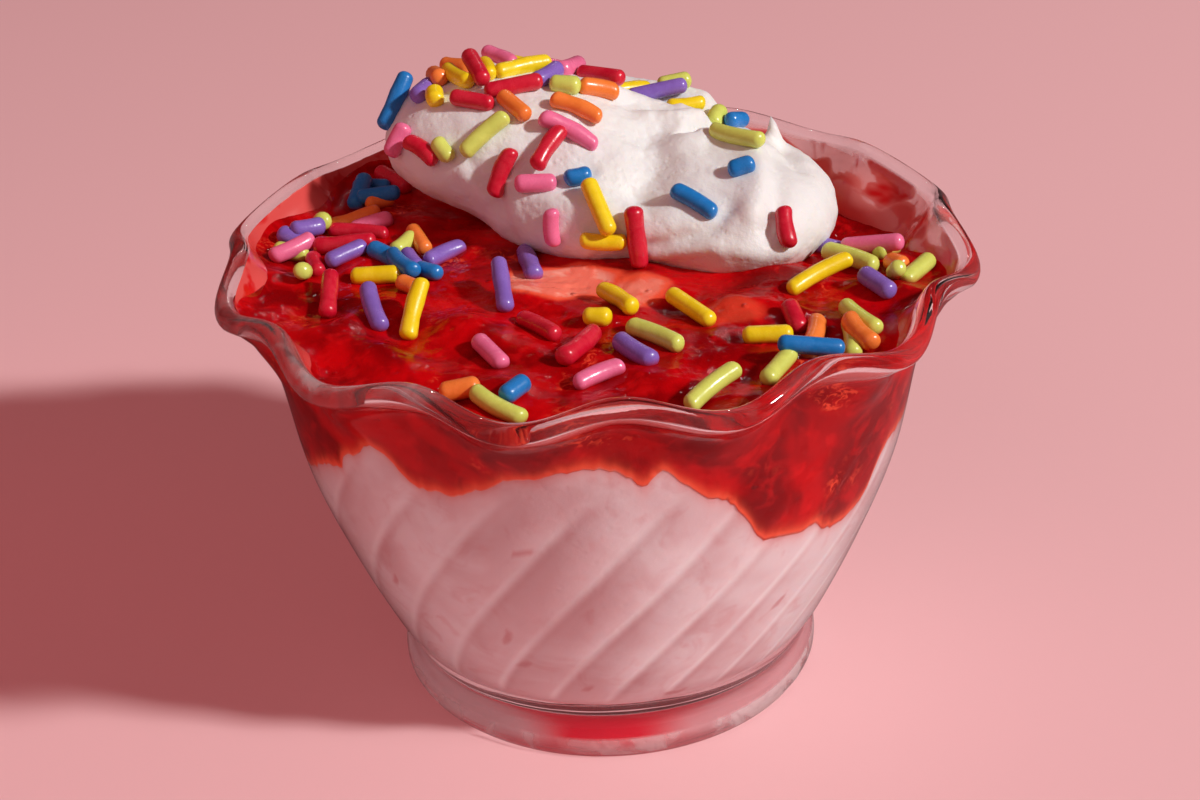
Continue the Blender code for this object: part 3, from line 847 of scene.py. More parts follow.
@dataclass
class GlassDish:
    """The pressed glass dish."""

    wall: DishWall
    steps: int = 288
    wall_rows: int = 72
    lip_centre: tuple[float, float] = (38.05 * MM, 49.6 * MM)
    lip_radius: float = 1.12 * MM
    lip_frost: float = 0.5
    least_dull: float = 0.15
    foot_frost: float = 0.05
    foot_crease: float = 2.5 * MM
    # The grey sheets of painted sheen: their gap off the glass and arc round the lip; where the lip is duller
    # and carries more of it, and how widely; and how much lies on the lip, at the front left and round the
    # foot
    sheen_off: float = 0.02 * MM
    sheen_arc: tuple[float, float] = (150.0, -70.0)
    dull_and_sheen_at: float = -48.0
    dull_and_sheen_width: float = 26.0
    lip_sheen: float = 0.05
    left_sheen: float = 0.42
    foot_sheen: float = 0.50
    # Heights of the rows of the foot's painted sheen in mm, and between which it fades in and out
    foot_rows: Sequence[float] = (0.2, 0.6, 1.2, 1.8, 2.3, 2.6)
    foot_fades: tuple[float, float, float, float] = (0.0, 0.6, 2.3, 2.6)
    lip_arc: tuple[float, float] = (135.0, -35.0)
    lip_rows: int = 14
    hollow_radius: float = 18.0 * MM
    hollow_height: float = 0.5 * MM
    stand_radius: float = 20.0 * MM

    def lip_places(self, arc: tuple[float, float], radius: float) -> list[tuple[float, float]]:
        """Places round the lip's section.

        Args:
            arc: Where they start and end, in degrees from the outward direction.
            radius: Their distance from the lip's centre.

        Returns:
            Pairs of radius and height.
        """
        turns = [math.radians(mix(*arc, k / self.lip_rows)) for k in range(self.lip_rows + 1)]
        across, up = self.lip_centre
        return [(across + radius * math.cos(a), up + radius * math.sin(a)) for a in turns]

    def section(self) -> list[Vector]:
        """Section of the dish: up the inner wall, over the lip, down the outer wall and under."""
        wall = self.wall
        places = [(0.0, wall.floor_height), (8 * MM, wall.floor_height), (wall.floor_flat, wall.floor_height)]
        low, high = wall.inner[0][0], wall.inner[-1][0]
        for k in range(self.wall_rows + 1):
            height = mix(low, high, (k / self.wall_rows) ** 1.15)
            places.append((along(wall.inner, height), height))
        places += self.lip_places(self.lip_arc, self.lip_radius)
        low, high = wall.outer[0][0], wall.outer[-1][0]
        for k in range(self.wall_rows + 1):
            height = mix(high, low, k / self.wall_rows)
            places.append((along(wall.outer, height), height))
        places += [(self.stand_radius, 0.0)]
        places += [(self.hollow_radius, self.hollow_height), (0.0, self.hollow_height)]
        return [Vector((radius, 0.0, height)) for radius, height in places]

    def build(self, material: bpy.types.Material) -> bpy.types.Object:
        """Turn the section and push its rim out into lobes.

        Args:
            material: The glass.

        Returns:
            The dish, with the mark frost where it is dull.
        """
        bm = turned(self.section(), self.steps)
        wall = self.wall
        frost = []
        for point in bm.verts:
            x, y, z = point.co
            radius, angle = math.hypot(x, y), angle_of(x, y)
            middle = 0.5 * (along(wall.inner, z) + along(wall.outer, z))
            inside = radius < middle and z > wall.floor_height
            w = wall.wave(angle, z)
            stand_in = wall.rib_depth * wall.rib(angle, z) if inside else 0.0
            point.co = around(radius + wall.lobe_reach * w - stand_in, angle, z - wall.lobe_drop * w)
            uneven = 0.5 + 1.3 * noise.noise(point.co / (9 * MM))
            dull = self.lip_frost * mix(self.least_dull, 1.0, self.dull_and_sheen(angle))
            lip = dull * smooth_step(-0.8 * MM, 0.2 * MM, z - self.lip_centre[1]) * uneven
            foot = 0.0 if radius < self.stand_radius else self.foot_frost * (z <= self.foot_crease)
            frost.append(min(max(lip, foot, 0.0), 1.0))
        piece = new_piece("glass", bm, material)
        write_marks(piece, "frost", frost)
        return piece

    def dull_and_sheen(self, angle: float) -> float:
        """How dull handling has left the lip at an angle, and how much more painted sheen lies there, from 0
        to 1.
        """
        return near(angle, self.dull_and_sheen_at, self.dull_and_sheen_width)

    def build_sheen(self, material: bpy.types.Material) -> list[bpy.types.Object]:
        """Make the thin grey sheets of painted sheen on the lip and round the foot.

        Args:
            material: The haze.

        Returns:
            The lip's painted sheen and the foot's, each with its cover in a mark.
        """
        wall = self.wall
        arc_middle, arc_half = 0.5 * sum(self.sheen_arc), 0.5 * (self.sheen_arc[0] - self.sheen_arc[1])
        none_low, full_low, full_high, none_high = (height * MM for height in self.foot_fades)
        lip = self.lip_places(self.sheen_arc, self.lip_radius + self.sheen_off)
        foot = [(along(wall.outer, z * MM) + self.sheen_off, z * MM) for z in self.foot_rows]
        pieces = []
        for name, places in (("lip_sheen", lip), ("foot_sheen", foot)):
            bm = turned([Vector((r, 0.0, z)) for r, z in places], self.steps, closed_top=False)
            sheen = []
            for point in bm.verts:
                x, y, z = point.co
                radius, angle = math.hypot(x, y), angle_of(x, y)
                w = wall.wave(angle, z)
                point.co = around(radius + wall.lobe_reach * w, angle, z - wall.lobe_drop * w)
                # Painted sheen round the foot, fading in and out with height
                if name == "foot_sheen":
                    fade = smooth_step(none_low, full_low, z) * (1.0 - smooth_step(full_high, none_high, z))
                    sheen.append(self.foot_sheen * fade)
                    continue
                # Painted sheen over the lip's arc, more where the lip is duller
                turn = math.degrees(math.atan2(z - self.lip_centre[1], radius - self.lip_centre[0]))
                edge = 1.0 - smooth_step(0.55, 1.0, abs(turn - arc_middle) / arc_half)
                sheen.append(edge * (self.lip_sheen + self.left_sheen * self.dull_and_sheen(angle)))
            piece = new_piece(name, bm, material)
            write_marks(piece, "sheen", sheen)
            pieces.append(piece)
        return pieces


@dataclass
class Sauce:
    """The sauce: its upper face, what has run down inside the wall, and its smears."""

    wall: DishWall
    steps: int = 420
    top_rows: int = 88
    wall_rows: int = 44
    into_glass: float = 0.20 * MM
    level: float = 47.3 * MM
    under: float = 43.4 * MM
    skin: float = 1.4 * MM
    lump_height: float = 0.25 * MM
    lump_length: float = 13.0 * MM
    hollow: tuple[Vector, float, float] = (Vector((29 * MM, 13 * MM)), 15 * MM, 3.9 * MM)
    berry_seed: int = 4
    berry_count: int = 95
    climb: float = 0.8 * MM
    left_climb: float = 1.2 * MM
    climb_width: float = 1.2 * MM
    smear_rows: int = 16
    smear_off: float = 0.04 * MM
    film_least: float = 0.7
    # Where the film is thicker: angle and width in degrees, and how much more
    film_right: tuple[float, float, float] = (105.0, 60.0, 0.9)
    film_left: tuple[float, float, float] = (-100.0, 75.0, 2.4)
    film_front: tuple[float, float, float] = (8.0, 50.0, 1.3)
    low_film: float = 2.0
    # Where ice cream shows through: place across and back, half widths in mm, and how much
    thin_patches: Sequence[tuple[float, ...]] = (
        (-3.5, -4.0, 7.5, 4.8, 1.0), (3.5, -7.0, 5.0, 4.2, 0.75), (13.0, -13.0, 5.0, 3.0, 0.25),
        (-14.0, 22.0, 7.0, 4.0, 0.3),
    )
    # Angle round the dish and height of the sauce's lower edge on the glass, in mm
    edge: Points = (
        (-180, 38.9), (-168, 38.6), (-150, 41.2), (-135, 38.0), (-122, 33.6), (-108, 37.5), (-98, 39.5),
        (-88, 33.5), (-79, 30.0), (-68, 31.5), (-60, 34.2), (-53, 35.8), (-50, 38.0), (-45, 39.4),
        (-41, 41.6), (-37, 40.2), (-34, 38.2), (-31, 37.8), (-27, 37.9), (-23, 38.4), (-19, 39.8),
        (-13, 41.4), (-7, 42.1), (-1, 42.2), (3, 41.2), (6, 40.3), (8, 41.0), (10, 41.6), (12.5, 39.8),
        (17, 37.4), (22, 35.9), (25, 33.2), (27, 31.3), (31, 29.6), (35, 29.1), (41, 29.0), (47, 27.2),
        (52, 27.6), (57, 28.8), (59, 31.5), (65, 33.3), (75, 33.9), (84, 36.5), (95, 38.2), (104, 37.6),
        (116, 39.5), (128, 38.0), (140, 34.6), (148, 34.0), (158, 37.0), (170, 39.8), (180, 38.9),
    )

    def __post_init__(self) -> None:
        """Draw the soft lumps that the fruit makes."""
        draw = random.Random(self.berry_seed)
        spots = []
        for _ in range(self.berry_count):
            reach = 34 * MM * math.sqrt(draw.random())
            turn = draw.uniform(0, math.tau)
            size = draw.uniform(1.1, 3.0) * MM
            rise = draw.uniform(-0.22, 0.50) * size * 0.4
            spots.append((reach * math.cos(turn), reach * math.sin(turn), size, rise))
        self.berries = np.array(spots)

    def lower_edge(self, angle: float) -> float:
        """Height down to which the sauce has run inside the wall, with small ripples.

        Args:
            angle: Angle round the dish.

        Returns:
            The height.
        """
        a = math.radians(angle)
        ripple = noise.noise(Vector((math.cos(a), math.sin(a), 0)) * 14.0) * 0.5
        ripple += noise.noise(Vector((math.cos(a), math.sin(a), 3)) * 45.0) * 0.35
        return (along(self.edge, (angle + 180) % 360 - 180) + ripple) * MM

    def top(self, x: float, y: float) -> float:
        """Height of the sauce's upper face, without its rise at the glass.

        Args:
            x: Place across.
            y: Place back.

        Returns:
            The height.
        """
        place, reach, depth = self.hollow
        away = (Vector((x, y)) - place).length / reach
        low = depth * math.exp(-2.2 * away * away)
        a, b = x / self.lump_length * math.tau, y / self.lump_length * math.tau
        lumps = math.sin(a + 1.3 * math.sin(b * 0.7)) + math.sin(b * 1.2 + 0.8 * a + 2.0)
        spread = self.berries
        away = ((spread[:, 0] - x) ** 2 + (spread[:, 1] - y) ** 2) / spread[:, 2] ** 2
        fruit = float((spread[:, 3] * np.exp(-away)).sum())
        fine = 0.16 * MM * noise.noise(Vector((x, y, 0.01)) / (2.2 * MM))
        fine += 0.08 * MM * noise.noise(Vector((x, y, 0.05)) / (0.9 * MM))
        return self.level - low + self.lump_height * lumps + fruit + fine

    def rise(self, angle: float, radius: float, rim: float) -> float:
        """How far the sauce climbs the glass near its rim.

        Args:
            angle: Angle round the dish.
            radius: Distance from the dish's axis.
            rim: Radius at which the sauce meets the glass.

        Returns:
            The height of the climb.
        """
        share = 0.6 + 0.4 * math.sin(math.radians(5 * angle + 40))
        left = near(angle, -95, 70)
        return (self.climb * share + self.left_climb * left) * math.exp(-(rim - radius) / self.climb_width)

    def rim(self, angle: float) -> tuple[float, float]:
        """Find where the upper face meets the glass.

        Args:
            angle: Angle round the dish.

        Returns:
            The radius and the height.
        """
        radius = self.wall.inner_radius(angle, self.level)
        height = self.level
        for _ in range(4):
            place = around(radius, angle, 0)
            height = self.top(place.x, place.y) + self.rise(angle, radius, radius)
            radius = self.wall.inner_radius(angle, height) + self.into_glass
        return radius, height

    def section(self) -> list[Vector]:
        """The section as shares: x counts the radius, z the level.

        Level 3 is the upper face, 3 to 2 the wall, 2 the lower edge and 1 the under face.
        """
        shares = [k / self.top_rows for k in range(self.top_rows + 1)]
        places = [(math.sqrt(share) * 0.35 + 0.65 * share, 3.0) for share in shares]
        places += [(1.0, 3.0 - k / self.wall_rows) for k in range(1, self.wall_rows + 1)]
        places += [(0.97, 2.0), (0.9, 2.0), (0.88, 1.5), (0.9, 1.0), (0.5, 1.0), (0.0, 1.0)]
        return [Vector((share, 0.0, level)) for share, level in places]

    def build(self, material: bpy.types.Material) -> bpy.types.Object:
        """Make the sauce's body.

        Args:
            material: The sauce.

        Returns:
            The sauce, with the mark thin where the ice cream shows through.
        """
        bm = turned(self.section(), self.steps)
        rims: dict[int, tuple[float, float, float]] = {}
        thin = []
        for point in bm.verts:
            x, y, level = point.co
            share, angle = math.hypot(x, y), angle_of(x, y)
            key = round(angle * 100)
            if key not in rims:
                rims[key] = (*self.rim(angle), self.lower_edge(angle))
            rim, rim_height, edge = rims[key]
            mark = 0.0
            if level > 2.999:
                radius = rim * share
                place = around(radius, angle, 0)
                place.z = self.top(place.x, place.y) + self.rise(angle, radius, rim)
                mark = self.see_through(place.x, place.y)
            elif level >= 1.999 and share > 0.99:
                height = mix(edge, rim_height, level - 2.0)
                place = around(self.wall.inner_radius(angle, height) + self.into_glass, angle, height)
                mark = 0.8 * math.exp(-(height - edge) / (0.8 * MM))
            elif level > 1.2:
                inset = (1.0 - share) * 10.0 * self.skin
                height = mix(self.under, edge, (level - 1.0) if level < 1.9 else 1.0)
                place = around(self.wall.inner_radius(angle, edge) - inset, angle, height)
            else:
                radius = (self.wall.inner_radius(angle, self.under) - self.skin) * share / 0.9
                place = around(radius, angle, 0)
                place.z = min(self.under, self.top(place.x, place.y) - 1.6 * MM)
            point.co = place
            thin.append(mark)
        piece = new_piece("sauce", bm, material)
        write_marks(piece, "thin", thin)
        return piece

    def see_through(self, x: float, y: float) -> float:
        """How much ice cream shows through the sauce here.

        Args:
            x: Place across.
            y: Place back.

        Returns:
            From 0 to 1.
        """
        place = Vector((x, y, 0)) / MM
        total = 0.0
        for middle_x, middle_y, across, back, share in self.thin_patches:
            away = ((place.x - middle_x) / across) ** 2 + ((place.y - middle_y) / back) ** 2
            uneven = 0.35 * noise.noise(place * 0.28)
            total = max(total, share * (1.0 - smooth_step(0.25, 1.0, away + uneven)))
        return total

    def build_smears(self, material: bpy.types.Material) -> bpy.types.Object:
        """Make the film that the sauce left on the glass over its upper face.

        Args:
            material: The film.

        Returns:
            The film, with its cover in the mark film.
        """
        wall, rows = self.wall, self.smear_rows
        wall_top = wall.inner[-1][0]
        profile = [Vector((1.0, 0.0, k / rows)) for k in range(rows + 1)]
        bm = turned(profile, self.steps, closed_top=False)
        places = (self.film_right, self.film_left, self.film_front)
        film = []
        for point in bm.verts:
            angle, share = angle_of(point.co.x, point.co.y), point.co.z
            rim_height = self.rim(angle)[1]
            top = wall_top - wall.lobe_drop * wall.wave(angle, wall_top)
            height = mix(rim_height - 0.5 * MM, top, share)
            point.co = around(wall.inner_radius(angle, height) - self.smear_off, angle, height)
            sides = [near(angle, middle, width) for middle, width, _ in places]
            cover = self.film_least + sum(more * side for side, (_, _, more) in zip(sides, places))
            ragged = share + 0.55 * noise.noise(Vector((point.co.x, point.co.y, 0.4 * point.co.z)) / (4 * MM))
            low = self.low_film * sides[0] * (1.0 - smooth_step(0.1, 0.55, ragged))
            film.append(low + cover * (1.0 - smooth_step(0.35 + 0.55 * max(sides), 1.0, share)))
        piece = new_piece("sauce_smears", bm, material)
        write_marks(piece, "film", film)
        return piece


@dataclass
class IceCream:
    """The ice cream, pressed against the glass."""

    wall: DishWall
    sauce: Sauce
    steps: int = 480
    wall_rows: int = 64
    into_glass: float = 0.15 * MM
    behind: float = 1.2 * MM
    # Places across where the painted red light under the ice cream, which the foot shows as a red band, comes
    # in and goes out, and how much of it is left then
    foot_red_light_in: tuple[float, float] = (-10.0 * MM, -4.0 * MM)
    foot_red_light_out: tuple[float, float] = (2.0 * MM, 9.0 * MM)
    foot_red_light_left: float = 0.15
    # Places across where the painted glow under the ice cream fades, and how much of it is left then
    glow_out: tuple[float, float] = (2.0 * MM, 18.0 * MM)
    glow_left: float = 0.3
    # Small air pockets against the glass, only painted as dark arcs of shade: angle, height in mm, length in
    # mm and turn
    shaded_pockets: Sequence[tuple[float, float, float, float]] = (
        (-22.0, 18.5, 3.6, 70), (-20.5, 14.0, 2.6, 20), (16.5, 8.2, 3.6, 5), (-15.0, 31.5, 2.4, 10),
        (-6.0, 10.5, 2.0, 35), (38.0, 19.0, 2.6, 50), (-48.0, 22.0, 2.8, 60), (70.0, 21.0, 3.0, 40),
        (105.0, 17.0, 3.4, 55), (140.0, 24.0, 2.6, 20), (178.0, 12.0, 3.2, 60), (-150.0, 27.0, 3.0, 30),
        (-118.0, 15.0, 3.4, 65), (-90.0, 20.0, 2.4, 25),
    )

    def section(self) -> list[Vector]:
        """The section as shares: level 0 is the floor, 0 to 2 the wall, 3 the upper face."""
        places = [(0.0, 0.0), (0.3, 0.0), (0.6, 0.0), (0.9, 0.0)]
        places += [(1.0, 2.0 * (k / self.wall_rows) ** 1.3) for k in range(self.wall_rows + 1)]
        places += [(1.0, 2.2), (1.0, 2.4), (0.97, 2.6), (0.94, 2.8), (0.9, 3.0), (0.5, 3.0), (0.0, 3.0)]
        return [Vector((share, 0.0, level)) for share, level in places]

    def pocket_shade(self, angle: float, height: float) -> float:
        """How much painted shade of an air pocket is here.

        Args:
            angle: Angle round the dish.
            height: Height over the floor.

        Returns:
            From 0 to 1.
        """
        most = 0.0
        for at, middle, length, turn in self.shaded_pockets:
            across = ((angle - at + 180) % 360 - 180) * 0.45
            up = height / MM - middle
            if abs(across) > length or abs(up) > length:
                continue
            a = math.radians(turn)
            u = across * math.cos(a) + up * math.sin(a)
            v = up * math.cos(a) - across * math.sin(a) - 0.12 * u * u
            most = max(most, 1.0 - smooth_step(0.3, 1.0, (2 * u / length) ** 2 + (v / 0.45) ** 2))
        return most

    def foot_red_light_at(self, x: float) -> float:
        """How much painted red light lies under the ice cream here, for the foot to show, from 0 to 1."""
        return smooth_step(*self.foot_red_light_in, x) * mix(1.0, self.foot_red_light_left, smooth_step(*self.foot_red_light_out, x))

    def build(self, material: bpy.types.Material) -> bpy.types.Object:
        """Make the ice cream.

        Args:
            material: The ice cream.

        Returns:
            The ice cream, with marks for the painted highlight on each rib, the painted shade in air pockets
            and beside the ribs, the stain at the sauce, the painted red light that the foot shows, and the
            painted glow in the mark under where the foot gathers light.
        """
        bm = turned(self.section(), self.steps)
        wall = self.wall
        floor = wall.floor_height - self.into_glass
        marks: dict[str, list[float]] = {"rib_highlight": [], "pocket_shade": [], "stain": [], "foot_red_light": [], "under": []}
        edges: dict[int, float] = {}
        for point in bm.verts:
            x, y, level = point.co
            share, angle = math.hypot(x, y), angle_of(x, y)
            key = round(angle * 100)
            if key not in edges:
                edges[key] = self.sauce.lower_edge(angle)
            edge = edges[key]
            rib_highlight = pocket_shade = stain = foot_red_light = under = 0.0
            if level < 0.001 and share < 0.99:
                place = around(share / 0.9 * wall.floor_flat, angle, floor)
                # Painted red light and painted glow on the underside, which the foot shows
                foot_red_light = self.foot_red_light_at(place.x)
                under = mix(1.0, self.glow_left, smooth_step(*self.glow_out, place.x))
            elif share > 0.99 and level <= 2.001:
                height = mix(wall.inner[0][0], edge, level / 2.0)
                # Painted shade in air pockets and just beside each rib
                pocket_shade = max(self.pocket_shade(angle, height), 0.3 * wall.shade(angle, height))
                # Painted highlight on each rib
                rib_highlight = wall.rib_highlight(angle, height)
                stain = 0.5 * math.exp(-(edge - height) / (0.9 * MM))
                place = around(wall.inner_radius(angle, height) + self.into_glass, angle, height)
                # Painted glow and red light at the bottom of the wall, just above the dish's floor
                under = 1.0 - smooth_step(6.6 * MM, 7.1 * MM, height)
                foot_red_light = self.foot_red_light_at(place.x) * under
                place.z = min(height, place.z) - (self.into_glass if height < 7 * MM else 0.0)
            elif level < 2.95:
                height = edge + (level - 2.0) * 2.2 * MM
                inset = (1.0 - share) / 0.06 * self.behind - (self.into_glass if share > 0.99 else 0.0)
                place = around(wall.inner_radius(angle, height) - inset, angle, height)
                stain = 1.0
            else:
                radius = (wall.inner_radius(angle, self.sauce.under) - 2.6 * MM) * share / 0.9
                place = around(radius, angle, 0)
                place.z = min(self.sauce.under, self.sauce.top(place.x, place.y) - 1.6 * MM) - 0.3 * MM
                stain = 1.0
            point.co = place
            for name, value in zip(marks, (rib_highlight, pocket_shade, stain, foot_red_light, under)):
                marks[name].append(value)
        piece = new_piece("ice_cream_filling", bm, material)
        for name, values in marks.items():
            write_marks(piece, name, values)
        return piece


@dataclass(frozen=True)
class Sight:
    """The direction from which the photograph was taken, to place what it shows."""

    heart: Vector
    elevation: float = 29.0

    @property
    def ahead(self) -> Vector:
        """Direction in which the camera looks."""
        e = math.radians(self.elevation)
        return Vector((0, math.cos(e), -math.sin(e)))

    @property
    def rise(self) -> Vector:
        """Direction that shows as up."""
        e = math.radians(self.elevation)
        return Vector((0, math.sin(e), math.cos(e)))

    def hit(self, tree: BVHTree, across: float, up: float) -> tuple[Optional[Vector], Optional[Vector]]:
        """Find what the camera sees at a place of its view.

        Args:
            tree: The surface.
            across: Distance to the right of the cream's heart.
            up: Distance over it in the view.

        Returns:
            The place and its normal, or None twice.
        """
        start = self.heart + Vector((across, 0, 0)) + self.rise * up - self.ahead * 0.1
        return tree.ray_cast(start, self.ahead)[:2]

    def nearest(self, tree: BVHTree, across: float, up: float) -> tuple[Vector, Vector]:
        """Find what the camera sees there, or else a little lower.

        Args:
            tree: The surface.
            across: Distance to the right of the cream's heart.
            up: Distance over it in the view.

        Returns:
            The place and its normal.
        """
        place, normal = self.hit(tree, across, up)
        while place is None:
            up -= 0.3 * MM
            across -= math.copysign(0.1 * MM, across)
            place, normal = self.hit(tree, across, up)
        return place, normal

    def flat_on(self, normal: Vector, turn: float) -> Vector:
        """Find the way along a surface that the view shows at a turn.

        Args:
            normal: The surface's normal.
            turn: The turn in the view, in degrees.

        Returns:
            The way, as long as what the view shows as 1.
        """
        shown = Vector((math.cos(math.radians(turn)), 0, 0)) + self.rise * math.sin(math.radians(turn))
        facing = min(self.ahead.dot(normal), -0.35)
        depth = -shown.dot(normal) / facing
        return shown + self.ahead * min(max(depth, -1.2), 1.2)


@dataclass
class WhippedCream:
    """The dollop of whipped cream, with the folds that the spoon left."""

    sauce: Sauce
    sight: Sight
    finest: int = 7
    blend: float = 3.0
    reach: float = 40 * MM
    coarse_step: float = 0.4 * MM
    coarse_steps: int = 120
    halvings: int = 12
    lumps: Sequence[tuple[Sequence[float], Sequence[float]]] = (
        ((-8.2, 18.0, 54.9), (14.6, 12.0, 7.2)),
        ((-2.2, 11.5, 50.6), (9.3, 10.0, 5.6)),
        ((4.5, 14.0, 50.0), (13.0, 14.5, 7.2)),
        ((15.5, 10.0, 49.0), (11.3, 13.4, 6.6)),
        ((1.0, 24.0, 51.0), (16.0, 9.0, 6.0)),
    )
    # Folds as seen from the front: height and width in mm, then places across and up from the heart
    folds: Sequence[tuple[float, float, Sequence[tuple[float, float]]]] = (
        (0.7, 2.0, (
            (6.1, 2.0), (9.3, 2.7), (12.6, 1.9), (14.8, 0.5), (15.4, -1.7), (14.8, -4.5), (14.0, -6.7),
        )),
        (-0.7, 1.2, ((16.5, -0.2), (16.6, -3.0), (16.1, -5.8), (15.2, -8.5))),
        (-1.3, 2.6, ((2.8, 6.6), (3.8, 4.3), (4.2, 1.5), (3.6, -1.2), (2.4, -3.4))),
        (-1.1, 0.8, ((7.5, 3.2), (9.3, 4.1), (10.7, 4.6))),
        (1.0, 1.5, ((3.9, 5.7), (6.6, 5.1), (9.0, 5.2))),
        (0.6, 0.9, ((7.5, 6.7), (10.2, 5.6))),
        (-0.4, 0.8, ((2.6, -9.7), (6.5, -9.2), (9.6, -8.2), (11.5, -5.8))),
        (0.35, 0.9, ((3.1, -10.6), (8.8, -10.0), (12.7, -10.9), (17.7, -10.7))),
        (-0.5, 1.0, ((-18.9, -1.5), (-16.7, -4.4), (-14.6, -6.7))),
        (-0.4, 1.2, ((-15.5, -1.0), (-12.9, -4.5), (-11.8, -7.3))),
        (0.35, 1.0, ((-16.6, -0.5), (-14.2, -3.3))),
        (0.7, 1.8, ((-0.1, 8.7), (2.8, 7.7), (2.9, 4.9))),
        (-0.35, 1.6, ((-8.0, -3.0), (-3.0, -1.5), (1.0, -3.5))),
        (0.4, 1.6, ((-11.0, -2.5), (-6.0, -4.8), (-1.0, -6.5))),
    )
    # Folds on the back, as seen from above: height and width in mm, then places across and back
    back_folds: Sequence[tuple[float, float, Sequence[tuple[float, float]]]] = (
        (0.9, 1.8, ((-15, 26), (-6, 30), (5, 29), (13, 25))),
        (-0.9, 1.4, ((-12, 22), (-3, 25.5), (6, 25), (14, 20))),
        (-0.7, 1.2, ((18, 18), (21, 13), (22, 8))),
        (0.6, 1.5, ((-20, 20), (-17, 25), (-11, 29))),
    )
    peak_at: tuple[float, float] = (20.3 * MM, 14.0 * MM)
    peak_height: float = 5.2 * MM
    peak_reach: float = 3.0 * MM
    peak_power: float = 4.0
    peak_curl: float = 0.5 * MM
    seat_depth: float = 0.25 * MM
    stain_most: float = 0.38
    stain_height: float = 0.5 * MM

    def field(self, places: np.ndarray) -> np.ndarray:
        """Find what is inside the cream.

        Args:
            places: Many places.

        Returns:
            For each place a number over 1 inside the cream and under 1 outside it.
        """
        total = np.zeros(len(places))
        for middle, half in self.lumps:
            q = (places / MM - np.array(middle)) / np.array(half)
            total += np.exp(self.blend * (1.0 - (q * q).sum(axis=1)))
        return total

    def push_out(self, bm: bmesh.types.BMesh) -> None:
        """Push a ball's points out to the lumps' surface: by coarse steps inwards, then by halving.

        Args:
            bm: The ball's mesh.
        """
        heart = np.array(self.sight.heart)
        ways = np.array([v.co.normalized() for v in bm.verts])
        outer = np.full(len(ways), self.reach)
        for _ in range(self.coarse_steps):
            outside = self.field(heart + ways * outer[:, None]) < 1.0
            if not outside.any():
                break
            outer[outside] -= self.coarse_step
        low, high = outer.copy(), outer + self.coarse_step
        for _ in range(self.halvings):
            middle = 0.5 * (low + high)
            outside = self.field(heart + ways * middle[:, None]) < 1.0
            high[outside] = middle[outside]
            low[~outside] = middle[~outside]
        for point, way, far in zip(bm.verts, ways, low):
            point.co = Vector(heart + way * far)

    def fold_lines(self, bm: bmesh.types.BMesh) -> list[tuple[float, float, list[Vector]]]:
        """Lay the folds' lines on the cream's surface.

        Args:
            bm: The cream's mesh.

        Returns:
            Each fold's height and width in mm, and its line's points.
        """
        tree = BVHTree.FromBMesh(bm)
        lines = []
        for height, width, places in self.folds:
            hits = [self.sight.hit(tree, across * MM, up * MM)[0] for across, up in places]
            lines.append((height, width, [h for h in hits if h is not None]))
        for height, width, places in self.back_folds:
            hits = [tree.ray_cast(Vector((x * MM, y * MM, 0.1)), DOWN)[0] for x, y in places]
            lines.append((height, width, [h for h in hits if h is not None]))
        return [line for line in lines if len(line[2]) > 1]

    @staticmethod
    def distance_to(places: np.ndarray, line: Sequence[Vector]) -> np.ndarray:
        """Distance of many places from a line.

        Args:
            places: The places.
            line: The line's points.

        Returns:
            The distances.
        """
        nearest = np.full(len(places), 1.0)
        for a, b in zip(line, line[1:]):
            start, step = np.array(a), np.array(b) - np.array(a)
            share = np.clip(((places - start) @ step) / (step @ step), 0.0, 1.0)
            nearest = np.minimum(nearest, np.linalg.norm(places - start - share[:, None] * step, axis=1))
        return nearest

    def press_folds(self, bm: bmesh.types.BMesh) -> None:
        """Raise the folds' ridges and press in their creases, with soft dimples between.

        Args:
            bm: The cream's mesh.
        """
        lines = self.fold_lines(bm)
        bm.normal_update()
        places = np.array([v.co for v in bm.verts])
        shift = np.zeros(len(places))
        for height, width, line in lines:
            away = self.distance_to(places, line) / (width * MM)
            shift += 1.3 * height * MM * np.exp(-(away**2))
        for point, out in zip(bm.verts, shift):
            swell = 0.40 * noise.noise(point.co / (7 * MM)) + 0.16 * noise.noise(point.co / (2.4 * MM))
            fine = 0.16 * abs(noise.noise(point.co / (1.5 * MM)))
            fine += 0.05 * noise.noise(point.co / (0.6 * MM))
            point.co += point.normal * (out + (swell + fine) * MM)

    def raise_peak(self, bm: bmesh.types.BMesh) -> None:
        """Pull up the small curled peak that the spoon left.

        Args:
            bm: The cream's mesh.
        """
        at = Vector((*self.peak_at, 0))
        for point in bm.verts:
            away = (Vector((point.co.x, point.co.y, 0)) - at).length / self.peak_reach
            if away < 1.0 and point.co.z > 50 * MM:
                share = (1.0 - away) ** self.peak_power
                point.co.z += self.peak_height * share
                point.co.x -= self.peak_curl * share * share

    def build(self, material: bpy.types.Material) -> bpy.types.Object:
        """Make the cream, seated on the sauce.

        Args:
            material: The cream.

        Returns:
            The cream, with the mark stain near the sauce.
        """
        bm = bmesh.new()
        bmesh.ops.create_icosphere(bm, subdivisions=self.finest, radius=1.0)
        self.push_out(bm)
        self.press_folds(bm)
        self.raise_peak(bm)
        stain = []
        for point in bm.verts:
            seat = self.sauce.top(point.co.x, point.co.y) - self.seat_depth
            over = point.co.z - seat
            point.co.z = max(point.co.z, seat)
            uneven = 0.5 + 0.5 * noise.noise(point.co / (3 * MM))
            stain.append(self.stain_most * uneven * math.exp(-max(over, 0.0) / self.stain_height))
        piece = new_piece("cream_dollop", bm, material)
        write_marks(piece, "stain", stain)
        return piece


